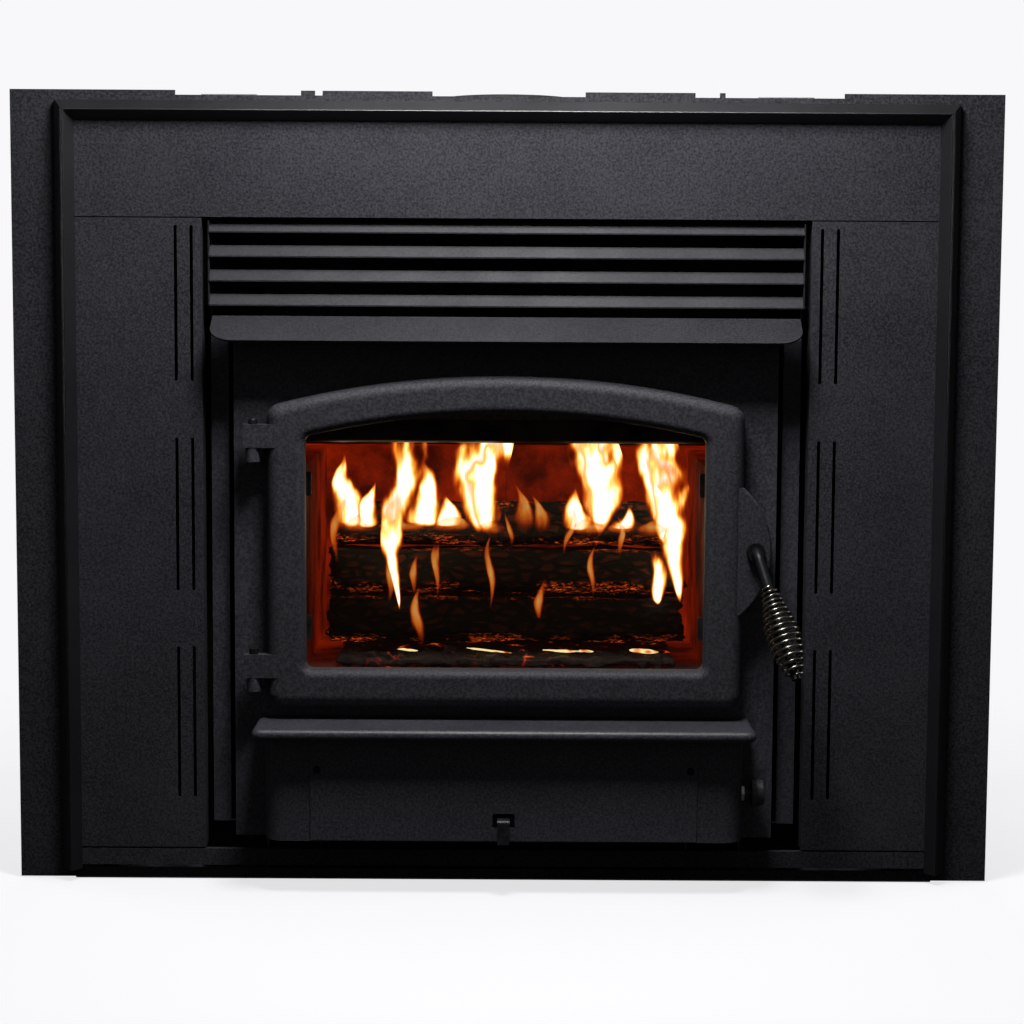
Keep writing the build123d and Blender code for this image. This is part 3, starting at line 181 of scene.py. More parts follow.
# Matte high-temperature stove paint, sprayed on sheet steel: dry, pebbled, faintly clouded.
# The grain is drawn coarser than real, so that it shows
def stovePaint(name, dark, light, grainMm=2.6, rough=(0.5, 0.68), sheen=0.3):
    material, tree, shader, place = newFinish(name, Specular_IOR_Level=sheen)
    grain = speckle(tree, place, grainMm, 5.0, 0.75)
    cloud = speckle(tree, place, 130.0, 4.0, 0.6)
    both = maths(tree, "ADD", maths(tree, "MULTIPLY", grain, 0.9), remap(tree, cloud, 0.3, 0.7, 0.03, 0.07))
    tree.links.new(blendColours(tree, both, dark, light, 0.41, 0.59), shader.inputs["Base Color"])
    tree.links.new(remap(tree, cloud, 0.3, 0.7, *rough), shader.inputs["Roughness"])
    bump(tree, shader, grain, 0.3, 0.8)
    return material


# Sand-cast iron under stove paint: the sand leaves a pebbled skin, drawn coarser than real
def castIron(name, dark, light):
    material, tree, shader, place = newFinish(name, Specular_IOR_Level=0.4)
    grain = speckle(tree, place, 2.6, 5.0, 0.65)
    cloud = speckle(tree, place, 90.0, 2.0, 0.5)
    colour = blendColours(tree, grain, dark, light, 0.4, 0.6)
    tree.links.new(colour, shader.inputs["Base Color"])
    tree.links.new(spread(tree, cloud, 0.56, 0.72), shader.inputs["Roughness"])
    bump(tree, shader, grain, 0.35, 0.7)
    return material


# Hot-dip galvanised sheet: flat crystals of zinc, each at its own shade
def galvanisedSheet():
    material, tree, shader, place = newFinish("galvanised steel sheet", Metallic=0.7)
    flakes = addNode(tree, "TexVoronoi", {"Scale": perMetre(14.0)}, {"Vector": place}).outputs["Color"]
    shade = addNode(tree, "SeparateColor", links={"Color": flakes}).outputs[0]
    tree.links.new(blendColours(tree, shade, "#7f8285", "#94979a", 0.0, 1.0), shader.inputs["Base Color"])
    tree.links.new(spread(tree, shade, 0.56, 0.66), shader.inputs["Roughness"])
    return material


# Pressed mineral fibre board: dull, tufted, mustard grey
def mineralBoard():
    material, tree, shader, place = newFinish("mineral fibre board", Roughness=0.95)
    fibre = speckle(tree, place, 3.0, 6.0, 0.7, (1.0, 0.25, 1.0))
    tree.links.new(blendColours(tree, fibre, "#8c8466", "#b3ab88"), shader.inputs["Base Color"])
    bump(tree, shader, fibre, 0.8, 0.8)
    return material


# Pumice firebrick, sooted: pitted and warm, with a painted glow of firelight that grows towards the back
def firebrick():
    material, tree, shader, place = newFinish("pumice firebrick", Roughness=0.92)
    pits = addNode(tree, "TexVoronoi", {"Scale": perMetre(5.0)}, {"Vector": place}).outputs["Distance"]
    soot = speckle(tree, place, 70.0, 4.0, 0.6)
    grain = speckle(tree, place, 2.5, 4.0, 0.7)
    clay = blendColours(tree, grain, "#8a4c28", "#b0683a")
    mixed = addNode(tree, "Mix", {"data_type": "RGBA", "blend_type": "MULTIPLY"}, {6: clay})
    mixed.inputs[0].default_value = 1.0
    tree.links.new(blendColours(tree, soot, "#1c110c", "#96694a", 0.4, 0.66), mixed.inputs[7])
    tree.links.new(mixed.outputs[2], shader.inputs["Base Color"])
    bump(tree, shader, pits, 0.9, 0.7)
    # Painted firelight: an orange emission in patches over the brick, stronger towards the back
    paintedGlowPatches = remap(tree, soot, 0.36, 0.66, 0.15, 1.0)
    heat = maths(tree, "MULTIPLY", paintedGlowPatches, remap(tree, grain, 0.3, 0.7, 0.7, 1.1))
    shader.inputs["Emission Color"].default_value = linearColour("#ff3c0c")
    inward = addNode(tree, "SeparateXYZ", links={"Vector": place}).outputs[1]
    paintedGlowDepth = remap(tree, inward, 0.12, 0.36, 0.12, 1.0)
    glow = maths(tree, "MULTIPLY", maths(tree, "MULTIPLY", heat, paintedGlowDepth), 0.3)
    tree.links.new(glow, shader.inputs["Emission Strength"])
    return material


# Vacuum-formed ceramic fibre board: chalky and even
def ceramicBoard():
    material, tree, shader, place = newFinish("ceramic fibre board", Roughness=0.96)
    nap = speckle(tree, place, 4.0, 4.0, 0.6)
    tree.links.new(blendColours(tree, nap, "#6d6253", "#8f8371"), shader.inputs["Base Color"])
    bump(tree, shader, nap, 0.3, 0.5)
    return material


# Clear glass ceramic: flat, a trace of warm tint, almost wholly see-through
def glassCeramic():
    material, tree, shader, place = newFinish(
        "clear glass ceramic", Base_Color=linearColour("#2a211a"), Roughness=0.06, IOR=1.52, Alpha=0.1
    )
    haze = speckle(tree, place, 60.0, 2.0, 0.5)
    tree.links.new(spread(tree, haze, 0.04, 0.12), shader.inputs["Roughness"])
    return material


# Knitted glass-fibre rope: fine crossed stitches, charcoal
def knittedRope():
    material, tree, shader, place = newFinish("knitted glass fibre", Roughness=0.9)
    knit = addNode(tree, "TexVoronoi", {"Scale": perMetre(2.4)}, {"Vector": place}).outputs["Distance"]
    tree.links.new(blendColours(tree, knit, "#3b3938", "#1d1c1c", 0.0, 0.7), shader.inputs["Base Color"])
    bump(tree, shader, knit, 0.8, 0.9)
    return material


# Zinc-plated screws, passivated black to go with the paint: dark, slightly streaked
def zincPlate():
    material, tree, shader, place = newFinish("black zinc plate", Metallic=1.0)
    streak = speckle(tree, place, 2.0, 3.0, 0.6, (1.0, 1.0, 0.3))
    tree.links.new(blendColours(tree, streak, "#1e1e20", "#363637"), shader.inputs["Base Color"])
    tree.links.new(spread(tree, streak, 0.22, 0.38), shader.inputs["Roughness"])
    return material


# Nickel-plated spring wire, warmed by heat: drawn lines along the wire
def nickelWire():
    material, tree, shader, place = newFinish("nickel-plated spring wire", Metallic=1.0)
    tint = speckle(tree, place, 9.0, 3.0, 0.5)
    tree.links.new(blendColours(tree, tint, "#6f6a61", "#a8a297"), shader.inputs["Base Color"])
    tree.links.new(spread(tree, tint, 0.16, 0.34), shader.inputs["Roughness"])
    bump(tree, shader, speckle(tree, place, 1.2), 0.05, 0.4)
    return material


# Blackened steel bar: oil-dark with brushed highlights
def blackenedBar():
    material, tree, shader, place = newFinish("blackened steel bar", Metallic=0.6)
    grain = speckle(tree, place, 3.0, 4.0, 0.6)
    tree.links.new(blendColours(tree, grain, "#17171a", "#2b2b2e"), shader.inputs["Base Color"])
    tree.links.new(spread(tree, grain, 0.38, 0.55), shader.inputs["Roughness"])
    bump(tree, shader, grain, 0.08, 0.5)
    return material


# Plain cold-rolled steel, dusted with the paint of its neighbours
def plainSteel():
    material, tree, shader, place = newFinish("cold-rolled steel", Metallic=0.8)
    dust = speckle(tree, place, 12.0, 5.0, 0.7)
    tree.links.new(blendColours(tree, dust, "#26262a", "#4a4a4d"), shader.inputs["Base Color"])
    tree.links.new(spread(tree, dust, 0.4, 0.6), shader.inputs["Roughness"])
    return material


# Stainless tube that has been red hot: straw and violet bands
def heatTintedStainless():
    material, tree, shader, place = newFinish("heat-tinted stainless tube", Metallic=1.0, Roughness=0.42)
    bands = speckle(tree, place, 40.0, 2.0, 0.5)
    tree.links.new(blendColours(tree, bands, "#2e2628", "#54443a"), shader.inputs["Base Color"])
    return material


# Mill-scale steel darkened by smoke
def smokedSteel():
    material, tree, shader, place = newFinish("smoked mill steel", Metallic=0.3)
    scale = speckle(tree, place, 22.0, 5.0, 0.65)
    tree.links.new(blendColours(tree, scale, "#171412", "#3a332e"), shader.inputs["Base Color"])
    tree.links.new(spread(tree, scale, 0.6, 0.85), shader.inputs["Roughness"])
    bump(tree, shader, scale, 0.3, 0.5)
    return material


# Ground steel shaft
def groundSteel():
    material, tree, shader, place = newFinish("ground steel", Metallic=1.0)
    turned = speckle(tree, place, 0.8, 2.0, 0.5, (8.0, 1.0, 1.0))
    tree.links.new(blendColours(tree, turned, "#a2a3a5", "#c8c9cb"), shader.inputs["Base Color"])
    tree.links.new(spread(tree, turned, 0.2, 0.34), shader.inputs["Roughness"])
    return material


# Lacquered motor case
def motorLacquer():
    material, tree, shader, place = newFinish("baked motor lacquer", Roughness=0.4, Metallic=0.2)
    orange = speckle(tree, place, 2.0, 2.0, 0.5)
    tree.links.new(blendColours(tree, orange, "#26272a", "#323338"), shader.inputs["Base Color"])
    bump(tree, shader, orange, 0.06, 0.5)
    return material


# Pressed aluminium wheel
def pressedAluminium():
    material, tree, shader, place = newFinish("pressed aluminium", Metallic=1.0)
    grain = speckle(tree, place, 3.0, 3.0, 0.5, (0.2, 1.0, 1.0))
    tree.links.new(blendColours(tree, grain, "#a7a9ab", "#c9cbcc"), shader.inputs["Base Color"])
    tree.links.new(spread(tree, grain, 0.3, 0.45), shader.inputs["Roughness"])
    return material


# Moulded phenolic: charcoal, a soft sheen and a trace of flow
def mouldedPhenolic():
    material, tree, shader, place = newFinish("moulded phenolic", IOR=1.55)
    flow = speckle(tree, place, 8.0, 4.0, 0.6)
    tree.links.new(blendColours(tree, flow, "#38383b", "#4b4b4e"), shader.inputs["Base Color"])
    tree.links.new(spread(tree, flow, 0.38, 0.5), shader.inputs["Roughness"])
    bump(tree, shader, speckle(tree, place, 0.9), 0.04, 0.4)
    return material


# Chrome-plated nut
def chromePlate():
    material, tree, shader, place = newFinish("chrome plate", Metallic=1.0)
    wipe = speckle(tree, place, 6.0, 3.0, 0.5)
    tree.links.new(blendColours(tree, wipe, "#c4c5c7", "#e0e1e3"), shader.inputs["Base Color"])
    tree.links.new(spread(tree, wipe, 0.06, 0.16), shader.inputs["Roughness"])
    return material


# Heights of the seams where the log rows meet, and how far their sparks reach, in millimetres
burning = {"seams": (243, 300, 352, 399), "seamReach": 11}


# Charred split wood: black checks, ridges painted reddish brown (char tone with painted firelight on them),
# and sparks along the seams between the rows
def charredWood():
    material, tree, shader, place = newFinish("charred split wood", Roughness=0.6, Specular_IOR_Level=0.3)
    stretched = addNode(tree, "Mapping", {"Scale": (0.5, 1.0, 1.0)}, {"Vector": place}).outputs[0]
    checks = addNode(
        tree, "TexVoronoi", {"feature": "DISTANCE_TO_EDGE", "Scale": perMetre(11.0)}, {"Vector": stretched}
    ).outputs["Distance"]
    grain = speckle(tree, place, 5.0, 6.0, 0.75, (0.1, 1.0, 1.0))
    patch = speckle(tree, place, 40.0, 3.0, 0.6, (0.7, 1.0, 1.0))
    sparks = speckle(tree, place, 3.4, 4.0, 0.8, (0.5, 1.0, 1.0))
    # The ridges between the black checks are painted reddish brown: partly char tone, partly painted
    # firelight on the raised wood
    ridgeWithPaintedFirelight = maths(tree, "MULTIPLY", remap(tree, checks, 0.02, 0.25), grain)
    tree.links.new(blendColours(tree, ridgeWithPaintedFirelight, "#040201", "#6a2f12", 0.3, 0.72), shader.inputs["Base Color"])
    under = bump(tree, shader, checks, 3.0, 1.0)
    bump(tree, shader, grain, 1.4, 0.9, under)
    up = addNode(tree, "SeparateXYZ", links={"Vector": place}).outputs[2]
    seams = None
    for seamHeight in burning["seams"]:
        away = maths(tree, "ABSOLUTE", maths(tree, "SUBTRACT", up, seamHeight * mm), 0.0)
        near = remap(tree, away, 0.0, burning["seamReach"] * mm, 1.0, 0.0)
        seams = near if seams is None else maths(tree, "MAXIMUM", seams, near)
    lit = maths(tree, "MULTIPLY", remap(tree, sparks, 0.53, 0.6), remap(tree, patch, 0.46, 0.56))
    glow = maths(tree, "MULTIPLY", lit, seams)
    shader.inputs["Emission Color"].default_value = linearColour("#ff5e1e")
    tree.links.new(maths(tree, "MULTIPLY", glow, 1.1), shader.inputs["Emission Strength"])
    return material


# Live coals: black crust over dull red heat, under a film of ash
def liveCoals(name="live coals", hot="#ff6a1c", warm="#6c1204", strength=0.8, start=0.4):
    material, tree, shader, place = newFinish(name, Roughness=0.9)
    crust = addNode(tree, "TexVoronoi", {"Scale": perMetre(11.0)}, {"Vector": place}).outputs["Distance"]
    patch = speckle(tree, place, 60.0, 3.0, 0.6)
    fine = speckle(tree, place, 4.0, 5.0, 0.7)
    tree.links.new(blendColours(tree, fine, "#0c0806", "#33231b"), shader.inputs["Base Color"])
    heat = maths(tree, "MULTIPLY", crust, patch)
    colours = addNode(tree, "ValToRGB", links={"Fac": heat})
    ramp = colours.color_ramp
    ramp.elements[0].position = start
    ramp.elements[0].color = (0.0, 0.0, 0.0, 1.0)
    ramp.elements[1].position = start + 0.22
    ramp.elements[1].color = linearColour(hot)
    ramp.elements.new(start + 0.1).color = linearColour(warm)
    tree.links.new(colours.outputs["Color"], shader.inputs["Emission Color"])
    shader.inputs["Emission Strength"].default_value = strength
    bump(tree, shader, crust, 3.0, 0.8)
    return material


# Burning gas on a sheet whose UV runs across and up: from rim to core through the given colours
def burningGas(name, colours, strength, opacity, core, foot):
    material, tree, shader, place = newFinish(name, Base_Color=(0.0, 0.0, 0.0, 1.0), Roughness=1.0)
    shader.inputs["Specular IOR Level"].default_value = 0.0
    sheet = addNode(tree, "UVMap", {"uv_map": "UVMap"}).outputs[0]
    split = addNode(tree, "SeparateXYZ", links={"Vector": sheet})
    across, height = split.outputs[0], split.outputs[1]
    curl = speckle(tree, place, 38.0, 2.0, 0.5, (1.0, 1.0, 0.6))
    lick = speckle(tree, place, 14.0, 2.0, 0.5, (1.0, 1.0, 0.3))
    streak = speckle(tree, place, 7.0, 3.0, 0.6, (1.0, 1.0, 0.12))
    push = maths(tree, "MULTIPLY", remap(tree, curl, 0.3, 0.7, -0.42, 0.42), height)
    fray = remap(tree, lick, 0.3, 0.7, -0.05, 0.05)
    middle = maths(tree, "ADD", maths(tree, "ADD", maths(tree, "SUBTRACT", across, 0.5), push), fray)
    body = remap(tree, maths(tree, "ABSOLUTE", middle, 0.0), 0.44, 0.08, 0.0, 1.0, True)
    ragged = maths(tree, "ADD", height, remap(tree, lick, 0.3, 0.7, -0.12, 0.12))
    top = remap(tree, ragged, 1.05, 0.5, 0.0, 1.0, True)
    fade = maths(tree, "MULTIPLY", top, remap(tree, height, 0.0, foot))
    veins = remap(tree, streak, 0.3, 0.7, 0.78, 1.1)
    heat = maths(tree, "MULTIPLY", maths(tree, "MULTIPLY", body, fade), veins)
    stops = addNode(tree, "ValToRGB", links={"Fac": heat})
    ramp = stops.color_ramp
    ramp.elements[0].position = 0.0
    ramp.elements[0].color = linearColour(colours[0])
    ramp.elements[1].position = core
    ramp.elements[1].color = linearColour(colours[-1])
    for share, hexCode in zip((0.26, 0.5, 0.74), colours[1:]):
        ramp.elements.new(core * share).color = linearColour(hexCode)
    tree.links.new(stops.outputs["Color"], shader.inputs["Emission Color"])
    tree.links.new(remap(tree, heat, 0.0, core, 0.8, strength), shader.inputs["Emission Strength"])
    tree.links.new(remap(tree, heat, 0.02, 0.5, 0.0, opacity), shader.inputs["Alpha"])
    return material


print("materials")
finishes = {
    "surround_paint": stovePaint("surround stove paint", "#18181d", "#3b3b41"),
    "trim_paint": stovePaint("trim satin paint", "#101013", "#1d1d21", 1.6, (0.32, 0.4), 0.9),
    "fascia_paint": stovePaint("fascia stove paint", "#1c1c21", "#3f3f46"),
    # The louvre paint is the stove paint made darker: painted shade, to hold back the light the upturned
    # blades catch
    "slat_paint": stovePaint("louvre stove paint, painted darker", "#17171b", "#2b2b31"),
    # The body paint is the stove paint made lighter: painted light, to brighten the lip and the lower body
    "stove_paint": stovePaint("body stove paint, painted lighter", "#28282e", "#4a4a52", 2.6, (0.4, 0.5), 0.5),
    "cast_door": castIron("painted cast iron", "#222227", "#3e3e45"),
    "galvanised_sheet": galvanisedSheet(),
    "mineral_board": mineralBoard(),
    "firebrick": firebrick(),
    "ceramic_board": ceramicBoard(),
    "ceramic_glass": glassCeramic(),
    "glass_fibre": knittedRope(),
    "zinc_screw": zincPlate(),
    "plated_wire": nickelWire(),
    "blued_bar": blackenedBar(),
    "slide_steel": plainSteel(),
    "tube_steel": heatTintedStainless(),
    "firebox_steel": smokedSteel(),
    "shaft_steel": groundSteel(),
    "motor_case": motorLacquer(),
    "wheel_sheet": pressedAluminium(),
    "moulded_plastic": mouldedPhenolic(),
    "chrome_nut": chromePlate(),
    "disc_thermostat": ceramicBoard(),
    "bark": charredWood(),
    "ember": liveCoals(),
}
# Finishes that one slot can't hold, by the node or the kind of piece that wears them
extraFinishes = {
    # The hood wears a darker copy of the stove paint: painted shade, to hold back the extra light its sloping
    # face catches
    "hood": stovePaint("hood stove paint, painted darker", "#19191d", "#2e2e34", 2.6, (0.44, 0.56), 0.4),
    "bright coal": liveCoals("white-hot coal", "#ffe9a0", "#f07018", 1.2, 0.04),
    "bright flame": burningGas(
        "bright flame", ("#7c1602", "#d8480a", "#ff9428", "#ffce70", "#fff4d6"), 2.2, 1.0, 0.8, 0.08
    ),
    "thin flame": burningGas(
        "thin flame", ("#3c0a02", "#a32c06", "#e05c14", "#ff8c2c", "#ffb25a"), 1.3, 0.5, 1.0, 0.5
    ),
}
slotOf = {entry["node"]: entry["material_slot"] for entry in frame["record"]["subparts"]}
for name, cadNode in frame["nodes"].items():
    for materialSlot in cadNode.material_slots:
        materialSlot.material = extraFinishes.get(name, finishes[slotOf[name]])


def dress(piece, body, slot, *replaced, finish=None):
    piece.data.materials.clear()
    piece.data.materials.append(finish or finishes[slot])
    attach(piece, body)
    if replaced:
        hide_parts(*replaced)


# Coiled grip: the same swelling coil as the solid, in round wire
coilGrip = {
    "barFrom": (268, -62, 369),
    "barTo": (303, -128, 246),
    "tail": 4,
    "length": 100,
    "turns": 16,
    "wire": 1.6,
    "neck": 6.9,
    "belly": 17.3,
    "bellyShift": 1.36,
    "opening": 0.15,
    "steps": 40,
}


def windGrip():
    barTo = Vector(coilGrip["barTo"])
    along = (barTo - Vector(coilGrip["barFrom"])).normalized()
    sideways = Vector((0, along.z, -along.y)).normalized()
    third = along.cross(sideways)
    start = barTo - along * (coilGrip["length"] + coilGrip["tail"])
    total = coilGrip["turns"] * coilGrip["steps"]
    curve = bpy.data.curves.new("coil", "CURVE")
    curve.dimensions = "3D"
    curve.bevel_depth = coilGrip["wire"] * mm
    curve.bevel_resolution = 3
    curve.use_fill_caps = True
    wire = curve.splines.new("POLY")
    wire.points.add(total)
    for index in range(total + 1):
        share = index / total
        radius = coilGrip["neck"] + (coilGrip["belly"] - coilGrip["neck"]) * math.sin(
            math.pi * share ** coilGrip["bellyShift"]
        )
        angle = 2 * math.pi * coilGrip["turns"] * share
        rise = coilGrip["length"] * ((1 - coilGrip["opening"]) * share + coilGrip["opening"] * share ** 2)
        point = start + along * rise + (sideways * math.cos(angle) + third * math.sin(angle)) * radius
        wire.points[index].co = (point * mm).to_4d()
    coil = bpy.data.objects.new("coil", curve)
    bpy.context.scene.collection.objects.link(coil)
    pick(coil)
    bpy.ops.object.convert(target="MESH")
    grip = named("wound_grip")
    smoothByAngle(grip, 60)
    return grip


dress(windGrip(), "latch", "plated_wire", "spring_grip")
print("grip")

# Burning wood: three rows of split logs
logPile = {
    "radius": 30 * mm,
    "seat": 0.3 * mm,
    "rows": (3, 2, 1),
    "length": 432 * mm,
    "ends": 18,
    "sides": 20,
    # how far out each split face lies, as a share of the radius, and which way it looks, in degrees
    "flat": 0.62,
    "flatTurn": 150,
    "otherTurns": (100, 160),
    "secondFlat": 0.87,
    "secondTurn": 100,
    "voxel": 3 * mm,
    "stretch": 3.0,
    # size in millimetres, depth and how much of it sinks in
    "lumps": (24.0, 8 * mm, 0.58),
    "checks": (9.0, 5 * mm, 0.65),
}


def noiseTexture(name, kind, sizeMm, depth=2):
    texture = bpy.data.textures.new(name, kind)
    texture.noise_scale = sizeMm * mm
    if kind == "CLOUDS":
        texture.noise_depth = depth
    return texture


barkLumps = noiseTexture("barkLumps", "CLOUDS", logPile["lumps"][0])
barkChecks = noiseTexture("barkChecks", "VORONOI", logPile["checks"][0])
barkChecks.weight_1, barkChecks.weight_2 = -1.0, 1.0


def splitLog(name, x, y, z, length, turn):
    clearSelection()
    radius = logPile["radius"]
    bpy.ops.mesh.primitive_cylinder_add(
        vertices=logPile["sides"], radius=radius, depth=length / logPile["stretch"],
        location=(x, y, z), rotation=(0, math.pi / 2, 0)
    )
    log = named(name)
    bpy.ops.object.mode_set(mode="EDIT")
    for cutTurn, cutShare in ((turn, logPile["flat"]), (turn + logPile["secondTurn"], logPile["secondFlat"])):
        facing = Vector((0, math.cos(math.radians(cutTurn)), math.sin(math.radians(cutTurn))))
        bpy.ops.mesh.select_all(action="SELECT")
        middle = Vector((x, y, z)) + facing * radius * cutShare
        bpy.ops.mesh.bisect(plane_co=middle, plane_no=facing, clear_outer=True, use_fill=True)
    endEdit()
    settle(log)
    remesh = log.modifiers.new("skin", "REMESH")
    remesh.mode, remesh.voxel_size = "VOXEL", logPile["voxel"]
    for texture, (size, depth, sunk) in ((barkLumps, logPile["lumps"]), (barkChecks, logPile["checks"])):
        displace = log.modifiers.new(texture.name, "DISPLACE")
        displace.texture, displace.texture_coords = texture, "GLOBAL"
        displace.strength, displace.mid_level = depth, sunk
    applyModifiers(log)
    bpy.ops.object.mode_set(mode="EDIT")
    bpy.ops.mesh.select_all(action="SELECT")
    bpy.ops.transform.resize(value=(logPile["stretch"], 1, 1), center_override=(x, y, z))
    endEdit()
    smoothByAngle(log, 50)
    return log


logLow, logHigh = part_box("firewood")
emberLow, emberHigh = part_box("ember_bed")
logCentre = (logLow[0] + logHigh[0]) / 2
pitch = 2 * logPile["radius"] + logPile["seat"]
rise = pitch * math.cos(math.pi / 6)
firstY = logLow[1] + logPile["radius"]
random.seed(11)
logs = []
for row, count in enumerate(logPile["rows"]):
    for index in range(count):
        logY = firstY + pitch * (index + row / 2)
        logZ = logLow[2] + logPile["radius"] + rise * row
        logTurn = logPile["flatTurn"] if index == 0 else random.uniform(*logPile["otherTurns"])
        shorter = random.uniform(0, logPile["ends"]) * mm
        slide = random.uniform(-0.5, 0.5) * shorter
        name = f"split_log_{len(logs) + 1}"
        logs.append(splitLog(name, logCentre + slide, logY, logZ, logPile["length"] - shorter, logTurn))
for index, log in enumerate(logs):
    dress(log, "root", "bark", *(("firewood",) if index == 0 else ()))
print("logs")

# Coals: a mound of embers, loose lumps and a few white-hot streaks
coalBed = {
    "edge": 12 * mm,
    "height": 0.8,
    "voxel": 5 * mm,
    "lumps": (22.0, 12 * mm, 0.75),
    "count": 80,
    "size": (4, 12),
    "sideMargin": 30 * mm,
    "frontMargin": 12 * mm,
    "logGap": 4 * mm,
    "sit": 0.6,
    "stretch": ((0.7, 1.5), (0.6, 1.1), (0.6, 1.0)),
    # x, half length across and half height of the coals that burn white, in millimetres
    "bright": ((158, 17, 2.6), (-110, 12, 1.4), (92, 9, 1.8), (-18, 26, 0.8), (66, 24, 0.8)),
    "brightDepth": 5,
    "brightBack": 20 * mm,
    "brightRise": 20 * mm,
    "brightTilt": 0.12,
    "brightRagged": (4 * mm, 0.6),
}
emberLumps = noiseTexture("emberLumps", "CLOUDS", coalBed["lumps"][0], 3)
clearSelection()
bedWidth = emberHigh[0] - emberLow[0]
bedDepth = emberHigh[1] - emberLow[1]
bedCentre = [(emberLow[i] + emberHigh[i]) / 2 for i in range(3)]
bpy.ops.mesh.primitive_cube_add(size=1, location=bedCentre)
bed = named("ember_mound")
bedHeight = (emberHigh[2] - emberLow[2]) * coalBed["height"]
bed.scale = (bedWidth - coalBed["edge"], bedDepth - coalBed["edge"], bedHeight)
settle(bed)
remesh = bed.modifiers.new("skin", "REMESH")
remesh.mode, remesh.voxel_size = "VOXEL", coalBed["voxel"]
lumps = bed.modifiers.new("lumps", "DISPLACE")
lumps.texture, lumps.texture_coords = emberLumps, "GLOBAL"
lumps.strength, lumps.mid_level = coalBed["lumps"][1:]
applyModifiers(bed)
for vertex in bed.data.vertices:
    vertex.co.z = max(vertex.co.z, emberLow[2])
smoothByAngle(bed, 50)
dress(bed, "root", "ember", "ember_bed")
coals = []
for index in range(coalBed["count"]):
    clearSelection()
    size = random.uniform(*coalBed["size"]) * mm
    coalX = logCentre + random.uniform(-0.5, 0.5) * (bedWidth - coalBed["sideMargin"])
    coalY = random.uniform(emberLow[1] + coalBed["frontMargin"], firstY - coalBed["logGap"])
    coalZ = emberLow[2] + size * coalBed["sit"]
    bpy.ops.mesh.primitive_ico_sphere_add(subdivisions=1, radius=size, location=(coalX, coalY, coalZ))
    coal = bpy.context.active_object
    coal.rotation_euler = [random.uniform(0, 3) for axis in range(3)]
    coal.scale = [random.uniform(*limits) for limits in coalBed["stretch"]]
    settle(coal)
    coals.append(coal)
coalHeap = joined("loose_coals", coals)
for vertex in coalHeap.data.vertices:
    vertex.co.z = max(vertex.co.z, emberLow[2])
dress(coalHeap, "root", "ember")
for index, (coalX, halfLength, halfHeight) in enumerate(coalBed["bright"]):
    clearSelection()
    coalPlace = (coalX * mm, emberLow[1] + coalBed["brightBack"], emberLow[2] + coalBed["brightRise"])
    bpy.ops.mesh.primitive_ico_sphere_add(subdivisions=3, radius=mm, location=coalPlace)
    streak = named(f"bright_coal_{index + 1}")
    streak.scale = (halfLength, coalBed["brightDepth"], halfHeight)
    streak.rotation_euler.y = random.uniform(-coalBed["brightTilt"], coalBed["brightTilt"])
    settle(streak)
    ragged = streak.modifiers.new("ragged", "DISPLACE")
    ragged.texture, ragged.texture_coords = emberLumps, "GLOBAL"
    ragged.strength, ragged.mid_level = coalBed["brightRagged"]
    applyModifiers(streak)
    dress(streak, "root", "ember", finish=extraFinishes["bright coal"])
print("coals")

